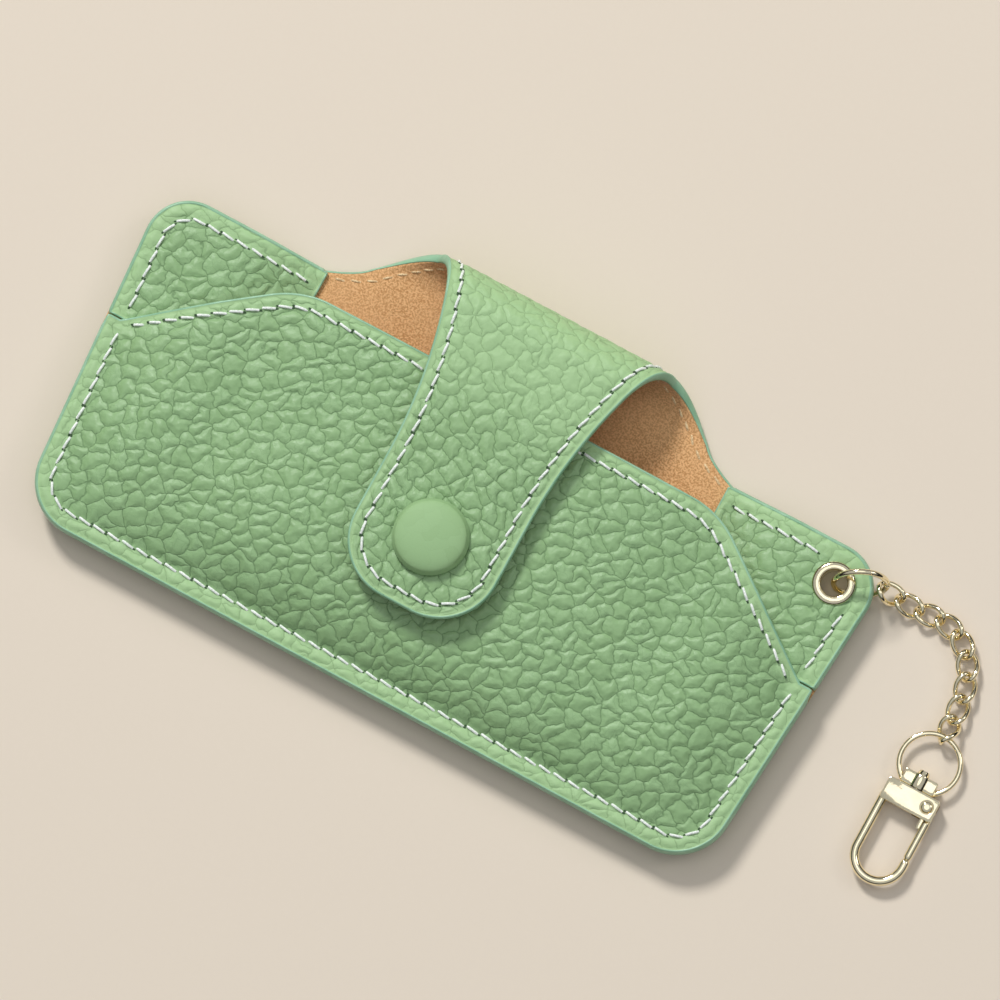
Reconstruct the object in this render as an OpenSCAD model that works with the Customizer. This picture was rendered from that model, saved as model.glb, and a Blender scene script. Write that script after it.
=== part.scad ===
// Soft pouch case for glasses: leather over suede, a folded strap with a snap,
// and a short curb chain with a swivel clasp on an eyelet in one ear.
// The case lies on its back. +X is along its length, +Y is towards the fold of the strap, +Z is up.
// Millimetres.

/* [Show] */
// Piece to build, or all of them

/* [Pouch body] */
// Half the pouch's length at the line of its ears
ear_half = 83; // [75:0.5:90]
// Half the pouch's length at its bottom edge
bottom_half = 78; // [70:0.5:88]
// Height of the ears' top edge above the middle
ear_y = 36.2; // [30:0.2:42]
// Depth of the bottom edge below the middle
bottom_depth = 36.2; // [30:0.2:42]
// Radius of the two bottom corners
bottom_r = 11; // [6:0.5:16]
// Radius of the two ears' corners
ear_r = 10; // [6:0.5:14]
// Where the front panel's free edge meets the sides
mouth_side_y = 7.2; // [2:0.2:14]
// Half-width of the short level part of the free edge, beyond which the slope starts
mouth_side_half = 78; // [72:0.5:80]
// Highest line of the front panel's free edge
mouth_top_y = 29.6; // [24:0.2:33]
// Slope of the front panel's shoulders
shoulder_slope = 0.744; // [0.5:0.01:1]
// Radius that rounds each shoulder into the free edge
shoulder_r = 19.2; // [10:0.2:26]

/* [Leather and lining] */
// Thickness of the leather
leather_t = 1.2; // [0.8:0.1:2]
// Thickness of the suede lining
lining_t = 0.8; // [0.5:0.1:1.5]
// Height of the case's edges above the table, where the back curls up
seam_z = 3; // [1:0.5:6]
// Depth of the pocket in the middle, with glasses' room inside
pocket_h = 9.35; // [6:0.05:14]
// Gap between the two linings at the seam
seam_gap = 0.15; // [0.1:0.05:0.4]

/* [Strap] */
// Line where the strap starts to turn up
fold_y = 41; // [38:0.5:44]
// Radius of the strap's outer skin round the fold
fold_r = 8.65; // [7:0.05:12]
// Half-width of the strap where it leaves the ears' slope
strap_mid_half = 27.2; // [22:0.2:32]
// Slope of the strap's sides where it leaves the ears
neck_slope = 0.95; // [0.6:0.01:1.3]
// Length of that sloping part
neck_len = 16.8; // [12:0.2:22]
// Length from the fold to the start of the straight tab
waist_len = 33; // [26:0.5:38]
// Half-width of the tab
tab_half = 16.1; // [13:0.1:20]
// Radius of the strap's waisted sides
waist_r = 110; // [80:1:150]
// Length of the straight flap beyond the fold
tab_len = 59; // [50:0.5:64]
// Corner radius of the tab's end
tab_r = 12.7; // [8:0.1:15]
// Gap between neighbouring strips of the strap, in degrees round the fold
strip_gap = 2; // [1:0.5:3]

/* [Snap] */
// Height of the snap along the tab
snap_y = -3; // [-8:0.5:2]
// Radius of the covered cap
snap_r = 7.8; // [6:0.1:9]
// Height of the cap's dome
snap_dome = 3.4; // [2:0.1:5]

/* [Eyelet and jump ring] */
// Eyelet centre along the case
eyelet_x = 74.3; // [70:0.1:76]
// Eyelet centre across the case
eyelet_y = 28.1; // [24:0.1:30]
// Outer radius of the eyelet's flange
eyelet_r = 4.4; // [3.5:0.1:5]
// Bore radius of the eyelet
eyelet_bore = 2.7; // [2.2:0.1:3]
// Jump ring radius at the middle of its wire
jump_r = 5.4; // [5:0.1:7]
// Jump ring wire radius
jump_wire = 0.6; // [0.5:0.05:0.8]
// Direction in which the jump ring lies out from the eyelet
jump_dir = 27.7; // [10:0.1:45]
// Lean of the jump ring from upright
jump_lean = 19; // [10:1:30]
// Height of the jump ring's middle
jump_z = 5.9; // [5.7:0.1:7]

/* [Chain] */
// Overall length of a link
link_len = 6.9; // [6:0.1:8]
// Half-width of a link at the middle of its wire
link_half = 1.93; // [1.7:0.01:2.3]
// Wire radius of a link
link_wire = 0.525; // [0.4:0.005:0.6]
// Slack between two links
link_slack = 0.22; // [0.15:0.01:0.3]

/* [Clasp] */
// Radius of the clasp's ring at the middle of its wire
clasp_ring_r = 6.15; // [5.5:0.05:7]
// Wire radius of the clasp's ring
clasp_ring_wire = 0.55; // [0.4:0.05:0.7]
// Length of the clasp's block across the clasp
block_w = 11.6; // [10:0.1:13]
// Depth of the clasp's block along the clasp
block_d = 4.85; // [4:0.05:6]
// Thickness of the clasp's block
block_t = 3.4; // [3:0.1:4]
// Hook radius at the middle of its rod
hook_r = 5.08; // [4:0.01:6]
// Hook rod radius
hook_rod = 0.97; // [0.8:0.01:1.2]

/* [Stitching] */
// Length from one stitch to the next
stitch_pitch = 3.3; // [2.5:0.1:5]
// Length of thread showing in one stitch
stitch_len = 2.3; // [1.5:0.1:3]
// Thread radius
thread_r = 0.3; // [0.2:0.05:0.5]
// Distance of the body's stitches from the edge
body_margin = 3.9; // [3:0.1:5]
// Distance of the strap's stitches from the edge
strap_margin = 2.85; // [2:0.05:4]

/* [Hidden] */
$fn = 32;

leather_c = [0.55, 0.68, 0.48];
suede_c = [0.78, 0.60, 0.40];
metal_c = [0.86, 0.72, 0.45];
thread_c = [0.90, 0.91, 0.88];

bottom_y = -bottom_depth;
stack_t = leather_t + lining_t;
side_slope = (ear_half - bottom_half) / (30 + bottom_depth);
neck_half = 46;
flat_half = 64;
curl_y = -14;
full_y = -8;
side_fall = 3;
bottom_fall = 2.5;
facing_low_y = mouth_side_y + 0.2;
fine = 0.001;

// ---- outlines ----

// Half-width of the straight slanted side at height y
function side_x(y) = bottom_half + (y - bottom_y) * side_slope;

// How far a corner of radius r cuts in at distance d from the end
function corner_cut(d, r) = d < r ? r - sqrt(max(0, r * r - (r - d) * (r - d))) : 0;

// Half-width of the body at height y, with its rounded corners
function body_x(y) = side_x(y) - corner_cut(y - bottom_y, bottom_r)
    - corner_cut(max(0, ear_y - y), ear_r);

// Half-width of the front panel above the mouth's side points
shoulder_cx = mouth_side_half - (mouth_top_y - mouth_side_y) / shoulder_slope
    - shoulder_r * tan(atan(shoulder_slope) / 2);
shoulder_y = mouth_top_y - shoulder_r * (1 - cos(atan(shoulder_slope)));
function front_x(y) = y < shoulder_y
    ? mouth_side_half - (y - mouth_side_y) / shoulder_slope
    : shoulder_cx + sqrt(max(0, pow(shoulder_r, 2) - pow(y - mouth_top_y + shoulder_r, 2)));

// Half-width of the strap at length v along its pattern, which equals y on the flat back
waist_v = fold_y + PI * fold_r + waist_len;
tab_end_v = fold_y + PI * fold_r + tab_len;
slope_end_v = ear_y + neck_len;
fillet_rise = 3;
fillet_len = 4;
function strap_base(v) = v < slope_end_v
    ? strap_mid_half + (slope_end_v - v) * neck_slope
        + fillet_rise * pow(max(0, 1 - (v - ear_y) / fillet_len), 2)
    : v < waist_v
        ? tab_half + waist_r - sqrt(pow(waist_r, 2) - pow(waist_v - v, 2))
        : tab_half;
function strap_x(v) = strap_base(v) - corner_cut(max(0, tab_end_v - v), tab_r);

// ---- heights ----

// Clamp to the range from 0 to 1
function unit(t) = min(1, max(0, t));

// Height of the back's outer face above the table
function back_z(x, y) = seam_z * (1 - unit((flat_half - abs(x)) / (flat_half - neck_half))
    * unit((y - bottom_y) / (curl_y - bottom_y)));

// Opening between the two linings
function pocket(x, y) = seam_gap + pocket_h * (1 - pow(min(1, abs(x) / side_x(y)), side_fall))
    * (y < full_y ? 1 - pow(unit((full_y - y) / (full_y - bottom_y)), bottom_fall) : 1);

// A point of the back and the strap: x across, v along the pattern, t in from the outer skin
function bend(x, v, t) = let (turn = (v - fold_y) / fold_r * 180 / PI)
    v <= fold_y ? [x, v, back_z(x, v) + t]
    : turn < 180
        ? [x, fold_y + (fold_r - t) * sin(turn), fold_r - (fold_r - t) * cos(turn)]
        : [x, 2 * fold_y + PI * fold_r - v, 2 * fold_r - t];

// A point of the front panel: t up from the underside of its lining
function front_point(x, y, t) = [x, y, back_z(x, y) + stack_t + pocket(x, y) + t];

// ---- grids ----

inner_cols = [0, 8, 16, 24, 32, 39, neck_half, 52, 58, flat_half];
outer_steps = [0.27, 0.54, 0.81, 0.92, 1];
col_last = len(inner_cols) + len(outer_steps) - 1;
mouth_col = 12;
neck_col = 6;

// Distance from the middle of column k on a row of half-width w
function col_x(k, w) = k < len(inner_cols) ? inner_cols[k]
    : flat_half + outer_steps[k - len(inner_cols)] * (w - flat_half);

// The same on the front panel above the mouth's side points
function shoulder_col(k, y) = let (w = body_x(mouth_side_y))
    col_x(k, w) * front_x(y) / col_x(mouth_col, w);

low_rows = [for (a = [0:22.5:90]) bottom_y + bottom_r * (1 - cos(a))];
side_rows = [-19, curl_y, full_y, -2, 3, mouth_side_y];
ear_rows = [for (a = [90:-22.5:0]) ear_y - ear_r * (1 - cos(a))];
neck_rows = [37.2, 38.6, fold_y, 42.6, strip_end(0) ];
back_rows = concat(low_rows, side_rows, [facing_low_y, 13, 19.5], ear_rows, neck_rows);
front_rows = concat(low_rows, side_rows, [12, 16.5, 21, shoulder_y, 27.6, 28.9, mouth_top_y]);
side_count = len(low_rows) + len(side_rows);
body_count = len(back_rows) - len(neck_rows);

// Closed solid between two grids of points, built only where cells[i][j] is true
module grid_solid(low, high, cells) {
    rows = len(low);
    cols = len(low[0]);
    base = rows * cols;
    points = concat([for (r = low) for (p = r) p], [for (r = high) for (p = r) p]);
    faces = [for (i = [0:rows - 2]) for (j = [0:cols - 2]) if (cells[i][j])
        let (a = i * cols + j, b = a + 1, d = a + cols, c = d + 1,
            south = i == 0 ? false : cells[i - 1][j],
            north = i == rows - 2 ? false : cells[i + 1][j],
            west = j == 0 ? false : cells[i][j - 1],
            east = j == cols - 2 ? false : cells[i][j + 1],
            n = base)
        each concat(
            [[a, b, c], [a, c, d], [a + n, d + n, c + n], [a + n, c + n, b + n]],
            south ? [] : [[a, a + n, b + n], [a, b + n, b]],
            east ? [] : [[b, b + n, c + n], [b, c + n, c]],
            north ? [] : [[c, c + n, d + n], [c, d + n, d]],
            west ? [] : [[d, d + n, a + n], [d, a + n, a]])];
    used = [for (i = [0:rows - 1]) for (j = [0:cols - 1])
        cell_at(cells, i, j) || cell_at(cells, i - 1, j)
        || cell_at(cells, i, j - 1) || cell_at(cells, i - 1, j - 1)];
    order = running(used);
    total = len([for (u = used) if (u) 1]);
    polyhedron(
        [for (n = [0, 1]) for (k = [0:base - 1]) if (used[k]) points[k + n * base]],
        [for (f = faces) [for (k = f) k < base ? order[k] : order[k - base] + total]],
        convexity = 6);
}

// True where a grid has a cell
function cell_at(cells, i, j) = i >= 0 && j >= 0 && i < len(cells) && j < len(cells[0])
    ? cells[i][j] : false;

// Number of true entries before each entry
function running(list) = [for (k = 0, n = 0; k < len(list); n = n + (list[k] ? 1 : 0), k = k + 1) n];

// Grid of the back's points at depth t
function back_grid(t) = [for (i = [0:len(back_rows) - 1])
    [for (j = [-col_last:col_last])
        let (v = back_rows[i], k = abs(j))
        i < body_count
            ? bend(sign(j) * col_x(k, body_x(v)), v, t)
            : bend(sign(j) * min(inner_cols[min(k, neck_col)], neck_half)
                * strap_x(v) / neck_half, v, t)]];

// Which cells of the back belong to the panel, or to one ear's facing
function back_cells() = [for (i = [0:len(back_rows) - 2])
    [for (j = [-col_last:col_last - 1])
        i < body_count - 1 || (j >= -neck_col && j < neck_col)]];
function facing_cells(side) = [for (i = [0:len(back_rows) - 2])
    [for (j = [-col_last:col_last - 1])
        i > side_count - 1 && i < body_count - 1
            && (side > 0 ? j >= neck_col : j < -neck_col)]];

// Grid of the front's points at height t above the underside of its lining
function front_grid(t) = [for (i = [0:len(front_rows) - 1])
    [for (j = [-col_last:col_last])
        let (y = front_rows[i], k = abs(j),
            half = i < side_count ? col_x(k, body_x(y)) : shoulder_col(min(k, mouth_col), y))
        front_point(sign(j) * half, y, t)]];
front_cells = [for (i = [0:len(front_rows) - 2])
    [for (j = [-col_last:col_last - 1])
        i < side_count - 1 || (j >= -mouth_col && j < mouth_col)]];

// ---- strap ----

// Pattern length at turn a round the fold
function fold_v(a) = fold_y + fold_r * a * PI / 180;

// Fold lines 0 to 3, in degrees round the fold
function fold_line(k) = 22.5 + 45 * k;
function strip_start(k) = fold_v(fold_line(k) + strip_gap / 2);
function strip_end(k) = fold_v(fold_line(k) - strip_gap / 2);

strap_cols = [-1, -0.72, -0.4, 0, 0.4, 0.72, 1];

// A piece of strap over the given rows, from depth t0 in to depth t1
module strip(rows, t0, t1) {
    grid_solid(
        [for (v = rows) [for (f = strap_cols) bend(f * strap_x(v), v, t0)]],
        [for (v = rows) [for (f = strap_cols) bend(f * strap_x(v), v, t1)]],
        [for (i = [0:len(rows) - 2]) [for (j = [0:len(strap_cols) - 2]) true]]);
}

// Rows of strip k, in steps of about eleven degrees
function strip_rows(k) = let (a0 = strip_start(k), a1 = strip_end(k + 1))
    [for (n = [0:4]) a0 + (a1 - a0) * n / 4];
flat_v = fold_y + PI * fold_r;
tab_rows = concat(
    [strip_start(3), (strip_start(3) + flat_v) / 2, flat_v, flat_v + 6, flat_v + 14, flat_v + 23,
        waist_v, waist_v + 8],
    [for (a = [90:-15:0]) tab_end_v - tab_r * (1 - cos(a))]);

module strap_piece(k, t0, t1) {
    if (k < 3) {
        strip(strip_rows(k), t0, t1);
    } else {
        strip(tab_rows, t0, t1);
    }
}

module flap_leather_1() { color(leather_c) strap_piece(0, 0, leather_t); }
module flap_leather_2() { color(leather_c) strap_piece(1, 0, leather_t); }
module flap_leather_3() { color(leather_c) strap_piece(2, 0, leather_t); }
module flap_leather_tab() {
    color(leather_c) difference() {
        strap_piece(3, 0, leather_t);
        translate([0, snap_y, tab_under]) cylinder(r = post_hole_r, h = stack_t + 1);
    }
}
module flap_lining_1() { color(suede_c) strap_piece(0, leather_t, stack_t); }
module flap_lining_2() { color(suede_c) strap_piece(1, leather_t, stack_t); }
module flap_lining_3() { color(suede_c) strap_piece(2, leather_t, stack_t); }
module flap_lining_tab() {
    color(suede_c) difference() {
        strap_piece(3, leather_t, stack_t);
        translate([0, snap_y, tab_under - 1]) cylinder(r = post_hole_r, h = stack_t + 2);
    }
}

// ---- body panels ----

module ear_hole() {
    translate([eyelet_x, eyelet_y, 0]) cylinder(r = barrel_r, h = seam_z + 10);
}
module back_panel() {
    color(leather_c) difference() {
        grid_solid(back_grid(0), back_grid(leather_t), back_cells());
        ear_hole();
    }
}
module back_lining() {
    color(suede_c) difference() {
        grid_solid(back_grid(leather_t), back_grid(stack_t), back_cells());
        ear_hole();
    }
}
module facing_left() {
    color(leather_c) grid_solid(back_grid(stack_t), back_grid(stack_t + leather_t), facing_cells(-1));
}
module facing_right() {
    color(leather_c) difference() {
        grid_solid(back_grid(stack_t), back_grid(stack_t + leather_t), facing_cells(1));
        ear_hole();
    }
}
module front_lining() {
    color(suede_c) difference() {
        grid_solid(front_grid(0), front_grid(lining_t), front_cells);
        translate([0, snap_y, front_z - 4]) cylinder(r = post_hole_r, h = 8);
    }
}
module front_panel() {
    color(leather_c) difference() {
        grid_solid(front_grid(lining_t), front_grid(stack_t), front_cells);
        translate([0, snap_y, front_z - 4]) cylinder(r = post_hole_r, h = 8);
    }
}

// ---- snap ----

front_z = stack_t + seam_gap + pocket_h + stack_t;
tab_under = 2 * fold_r - stack_t;
tab_top = 2 * fold_r;
post_r = 1.5;
post_hole_r = post_r + 0.1;
stud_r = 2;

// Stud on the front panel: flange and nipple
module snap_stud() {
    color(metal_c) translate([0, snap_y, front_z]) rotate_extrude()
        polygon([[0, 0], [4.5, 0], [4.5, 0.2], [4.2, 0.4], [stud_r - 0.25, 0.4],
            [stud_r - 0.25, 0.7], [stud_r, 0.85], [stud_r, 1], [stud_r - 0.3, 1.2], [0, 1.2]]);
}

// Rivet plate and shank that hold the stud from inside the pocket
module snap_stud_post() {
    color(metal_c) translate([0, snap_y, front_z - stack_t]) {
        cylinder(r = post_r, h = stack_t);
        translate([0, 0, -0.52]) cylinder(r = 4, h = 0.5);
    }
}

// Socket on the tab's underside, open towards the stud
module snap_socket() {
    color(metal_c) translate([0, snap_y, tab_under - 1.2]) rotate_extrude()
        polygon([[stud_r + 0.2, 0], [4.7, 0], [5, 0.3], [5, 1], [4.8, 1.2], [0.85, 1.2],
            [0.85, 0.75], [stud_r + 0.2, 0.75]]);
}

// Metal shell of the cap with its shank through the strap and riveted in the socket
module snap_cap() {
    color(metal_c) translate([0, snap_y, 0]) {
        translate([0, 0, tab_under]) cylinder(r = post_r, h = stack_t + 0.5);
        translate([0, 0, tab_under - 0.4]) cylinder(r = 0.8, h = 0.6);
        translate([0, 0, tab_top]) rotate_extrude()
            polygon([[0, 0], [6.3, 0], [6.3, 0.6], [5, 1.5], [2.5, 2.2], [0, 2.4]]);
    }
}

// Leather pulled over the cap's shell
module snap_cap_cover() {
    color(leather_c) translate([0, snap_y, tab_top]) rotate_extrude()
        polygon([[6.3, 0], [snap_r - 0.3, 0], [snap_r, 0.5], [snap_r - 0.35, 1.3], [snap_r - 1.6, 2.2],
            [snap_r - 3.6, 2.95], [snap_r - 5.8, snap_dome - 0.08], [0, snap_dome],
            [0, 2.4], [2.5, 2.2], [5, 1.5], [6.3, 0.6]]);
}

// ---- eyelet and jump ring ----

barrel_r = eyelet_bore + 0.4;
ear_top_z = seam_z + stack_t + leather_t;
module eyelet() {
    color(metal_c) translate([eyelet_x, eyelet_y, 0]) rotate_extrude()
        polygon([[eyelet_bore, seam_z - 0.4], [barrel_r, seam_z - 0.4], [barrel_r, ear_top_z],
            [eyelet_r, ear_top_z], [eyelet_r - 0.15, ear_top_z + 0.35], [barrel_r, ear_top_z + 0.6],
            [eyelet_bore + 0.1, ear_top_z + 0.45], [eyelet_bore, ear_top_z + 0.2]]);
}
module eyelet_washer() {
    color(metal_c) translate([eyelet_x, eyelet_y, seam_z - 0.4]) difference() {
        cylinder(r = eyelet_r - 0.2, h = 0.4);
        translate([0, 0, -1]) cylinder(r = barrel_r, h = 3);
    }
}

// Directions of the jump ring's plane
ring_out = [cos(jump_dir), sin(jump_dir), 0];
ring_up = [-sin(jump_dir) * sin(jump_lean), cos(jump_dir) * sin(jump_lean), cos(jump_lean)];
ring_centre = [eyelet_x, eyelet_y, jump_z] + (jump_r - 0.1) * ring_out;
module torus(r, wire) {
    rotate_extrude() translate([r, 0]) circle(r = wire);
}
module jump_ring() {
    color(metal_c) translate(ring_centre) rotate([0, 0, jump_dir]) rotate([90 - jump_lean, 0, 0])
        torus(jump_r, jump_wire);
}

// ---- chain ----

link_a = link_len / 2 - link_wire;
link_step = 2 * link_a - 2 * link_wire - link_slack;
hook_turn = -26;
link_heads = [0, -4, 9, -12, -38, -60, -76, -84, -90];
link_z = [1.9, 1.45, 1.4, 1.4, 1.4, 1.4, 1.4, 1.5, 2.1];
first_pivot = ring_centre + (jump_r - jump_wire - link_slack / 2)
    * (cos(hook_turn) * ring_out + sin(hook_turn) * ring_up);

// Pivots between the links, one after the other
function pivots(k) = k == 0 ? [first_pivot]
    : let (before = pivots(k - 1), p = before[k - 1], rise = link_z[k - 1] - p[2],
        flat = sqrt(link_step * link_step - rise * rise))
        concat(before, [p + [flat * cos(link_heads[k - 1]), flat * sin(link_heads[k - 1]), rise]]);
pivot = pivots(9);

// Sign and power for the rounded oval of a link
function power(t, e) = sign(t) * pow(abs(t), e);
link_steps = 24;
wire_sides = 8;

// Centre line of a twisted link at angle t, twisted from turn0 to turn1
function link_point(t, turn0, turn1) =
    let (x = link_a * power(cos(t), 0.85), w = link_half * power(sin(t), 0.85),
        f = (turn0 + turn1) / 2 + (turn1 - turn0) / 2 * x / link_a)
    [x, w * cos(f), w * sin(f)];

// Wire swept along the link's centre line
module link_shape(turn0, turn1) {
    line = [for (n = [0:link_steps - 1]) link_point(360 * n / link_steps, turn0, turn1)];
    rings = [for (n = [0:link_steps - 1])
        let (back = line[(n + link_steps - 1) % link_steps], front = line[(n + 1) % link_steps],
            d = (front - back) / norm(front - back),
            out = line[n] - d * (line[n] * d),
            side = out / norm(out), up = cross(d, side))
        [for (m = [0:wire_sides - 1])
            line[n] + link_wire * (cos(360 * m / wire_sides) * side + sin(360 * m / wire_sides) * up)]];
    polyhedron([for (r = rings) for (p = r) p],
        [for (n = [0:link_steps - 1]) for (m = [0:wire_sides - 1])
            let (n2 = (n + 1) % link_steps, m2 = (m + 1) % wire_sides,
                a = n * wire_sides + m, b = n * wire_sides + m2,
                c = n2 * wire_sides + m2, d = n2 * wire_sides + m)
            each [[a, b, c], [a, c, d]]], convexity = 8);
}
module chain_link(k, turn0 = -45, turn1 = 45) {
    p = pivot[k - 1];
    d = pivot[k] - p;
    color(metal_c) translate(p + d / 2) rotate([0, 0, atan2(d[1], d[0])])
        rotate([0, -asin(d[2] / norm(d)), 0]) link_shape(turn0, turn1);
}
module chain_link_1() { chain_link(1); }
module chain_link_2() { chain_link(2); }
module chain_link_3() { chain_link(3); }
module chain_link_4() { chain_link(4); }
module chain_link_5() { chain_link(5); }
module chain_link_6() { chain_link(6); }
module chain_link_7() { chain_link(7); }
module chain_link_8() { chain_link(8); }
module chain_link_9() { chain_link(9, -45, 88); }

// ---- clasp, drawn with its ring centred at the origin and its hook towards -Y ----

clasp_at = pivot[9] - [0, clasp_ring_r - clasp_ring_wire - link_slack / 2, 0];
boss_low = -5.7;
boss_high = -2.8;
boss_half = 3.6;
swivel_r = 0.9;
block_top = boss_low - 0.12;
block_low = block_top - block_d;
rivet_x = 3.7;
rivet_y = block_top - 2.3;
slot_top = block_top - 0.68;
eye_r = 1.5;
rivet_r = 0.8;
slot_half = 1.15;
hook_y = -21;
nose_y = -19.6;
gate_tip_y = nose_y + 0.3;

module clasp_ring() {
    lost = asin(boss_half / clasp_ring_r) - 3;
    color(metal_c) translate(clasp_at) difference() {
        union() {
            rotate([0, 0, -90 + lost]) rotate_extrude(angle = 360 - 2 * lost)
                translate([clasp_ring_r, 0]) circle(r = clasp_ring_wire);
            translate([-boss_half, boss_low, -1.1]) cube([2 * boss_half, boss_high - boss_low, 2.2]);
            translate([0, boss_low, 0]) rotate([-90, 0, 0]) cylinder(r = 1.75, h = boss_high - boss_low);
        }
        translate([0, boss_low - 1, 0]) rotate([-90, 0, 0]) cylinder(r = swivel_r + 0.06, h = 5);
    }
}
module clasp_swivel_post() {
    color(metal_c) translate(clasp_at) {
        translate([0, block_top - 1.4, 0]) rotate([-90, 0, 0])
            cylinder(r = swivel_r, h = boss_high + 0.1 - block_top + 1.4);
        translate([0, boss_high + 0.08, 0]) rotate([-90, 0, 0]) cylinder(r1 = 1.35, r2 = 1, h = 0.9);
    }
}
module clasp_block() {
    color(metal_c) translate(clasp_at) difference() {
        translate([-block_w / 2, block_low, -block_t / 2]) cube([block_w, block_d, block_t]);
        translate([0, block_top - 1.4, 0]) rotate([-90, 0, 0]) cylinder(r = swivel_r, h = 3);
        translate([1.6, block_low - 1, -slot_half]) cube([block_w, slot_top - block_low + 1, 2 * slot_half]);
        translate([rivet_x, rivet_y, -block_t]) cylinder(r = rivet_r, h = 2 * block_t);
        translate([-hook_r, block_low - 1, 0]) rotate([-90, 0, 0]) cylinder(r = 0.7, h = 3);
    }
}
module clasp_hook() {
    color(metal_c) translate(clasp_at) {
        translate([0, hook_y, 0]) rotate([0, 0, 180]) rotate_extrude(angle = 180)
            translate([hook_r, 0]) circle(r = hook_rod);
        translate([-hook_r, hook_y - fine, 0]) rotate([-90, 0, 0])
            cylinder(r = hook_rod, h = block_low - hook_y + fine);
        translate([-hook_r, block_low - 0.5, 0]) rotate([-90, 0, 0]) cylinder(r = 0.7, h = 2.5);
        translate([hook_r, hook_y - fine, 0]) rotate([-90, 0, 0])
            cylinder(r = hook_rod, h = nose_y - hook_y + fine);
    }
}
module clasp_gate() {
    color(metal_c) translate(clasp_at) difference() {
        union() {
            translate([rivet_x, rivet_y, -1.05]) cylinder(r = eye_r, h = 1.3);
            translate([hook_r - 1.55, gate_tip_y + 7, -1.05])
                cube([2.3, rivet_y - gate_tip_y - 7, 1.3]);
            translate([hook_r - 0.05, gate_tip_y, 0]) rotate([-90, 0, 0])
                cylinder(r = 0.85, h = 8.2);
        }
        translate([rivet_x, rivet_y, -3]) cylinder(r = rivet_r + 0.05, h = 6);
    }
}
module gate_rivet() {
    color(metal_c) translate(clasp_at + [rivet_x, rivet_y, 0]) {
        translate([0, 0, -block_t / 2]) cylinder(r = rivet_r, h = block_t);
        translate([0, 0, block_t / 2]) cylinder(r1 = 1.2, r2 = 0.9, h = 0.35);
    }
}
module gate_spring() {
    color(metal_c) translate(clasp_at + [rivet_x, rivet_y, 0])
        for (z = [0.5, 0.88]) translate([0, 0, z]) torus(1.15, 0.18);
}

// ---- stitching ----

thread_up = thread_r + 0.16;
eyelet_xy = [eyelet_x, eyelet_y];

// One stitch from a to b
module stitch(a, b) {
    d = b - a;
    translate((a + b) / 2) rotate([0, acos(d[2] / norm(d)), atan2(d[1], d[0])])
        cylinder(r = thread_r, h = norm(d), center = true, $fn = 6);
}

// Length along a list of points, and the point at that length
function path_len(p) = [for (k = 0, s = 0; k < len(p);
    s = s + (k + 1 < len(p) ? norm(p[k + 1] - p[k]) : 0), k = k + 1) s];
function path_at(p, sums, s) =
    let (k = min(len(p) - 2, max(0, len([for (t = sums) if (t <= s) 1]) - 1)))
    p[k] + (p[k + 1] - p[k]) * (s - sums[k]) / max(fine, sums[k + 1] - sums[k]);

// Stitches along a flat path of [x, y] points, lifted by a function of x and y
module stitches(path, lift, start = 1) {
    sums = path_len(path);
    total = sums[len(sums) - 1];
    count = floor((total - 2 * start) / stitch_pitch);
    spare = (total - count * stitch_pitch) / 2;
    for (n = [0:count - 1]) {
        s = spare + (n + 0.5) * stitch_pitch;
        a = path_at(path, sums, s - stitch_len / 2);
        b = path_at(path, sums, s + stitch_len / 2);
        if (min(norm(a - eyelet_xy), norm(b - eyelet_xy)) > eyelet_r + 0.6)
            stitch(lift(a[0], a[1]), lift(b[0], b[1]));
    }
}

// Height of the front grid's facets is never above this smooth surface by more than the lift
front_lift = function(x, y) front_point(x, y, stack_t + thread_up);
ear_lift = function(x, y) bend(x, y, stack_t + leather_t + thread_up);
strap_lift = function(x, v) bend(x, v, -thread_up);

// Side seam from the left mouth point round the bottom to the right
side_half_path = let (m = body_margin, r = bottom_r - m, x0 = side_x(bottom_y + bottom_r) - m)
    concat(
        [[side_x(bottom_y) - bottom_r, bottom_y + m]],
        [for (a = [75:-15:15]) [x0 - r * (1 - cos(a)), bottom_y + m + r * (1 - sin(a))]],
        [[x0, bottom_y + bottom_r], [side_x(mouth_side_y) - m, mouth_side_y - 2.2]]);
side_path = concat([for (k = [len(side_half_path) - 1:-1:0]) [-side_half_path[k][0], side_half_path[k][1]]],
    side_half_path);
module side_thread() {
    color(thread_c) stitches(side_path, front_lift);
}

// Edge of each ear, from the mouth up round the corner to the strap
ear_path = let (m = body_margin, r = ear_r - m, cx = side_x(ear_y - ear_r) - ear_r)
    concat(
        [[side_x(facing_low_y) - m, facing_low_y + 1.2]],
        [for (a = [0:15:90]) [cx + r * cos(a), ear_y - ear_r + r * sin(a)]],
        [[neck_half + 3.2, ear_y - m]]);
module ear_thread() {
    color(thread_c) {
        stitches(ear_path, ear_lift);
        stitches([for (p = ear_path) [-p[0], p[1]]], ear_lift);
    }
}

// Free edge of the front panel
mouth_margin = 3;
mouth_half = [for (y = [mouth_top_y:-0.95:shoulder_y]) [front_x(y), y]];
mouth_right = concat(
    [for (p = mouth_half) let (c = [shoulder_cx, mouth_top_y - shoulder_r])
        c + (p - c) * (shoulder_r - mouth_margin) / shoulder_r],
    [[mouth_side_half - 1.8, mouth_side_y - mouth_margin + 2]]);
mouth_path = concat([for (k = [len(mouth_right) - 1:-1:0]) [-mouth_right[k][0], mouth_right[k][1]]],
    mouth_right);
module mouth_thread() {
    color(thread_c) stitches(mouth_path, front_lift);
}

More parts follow.
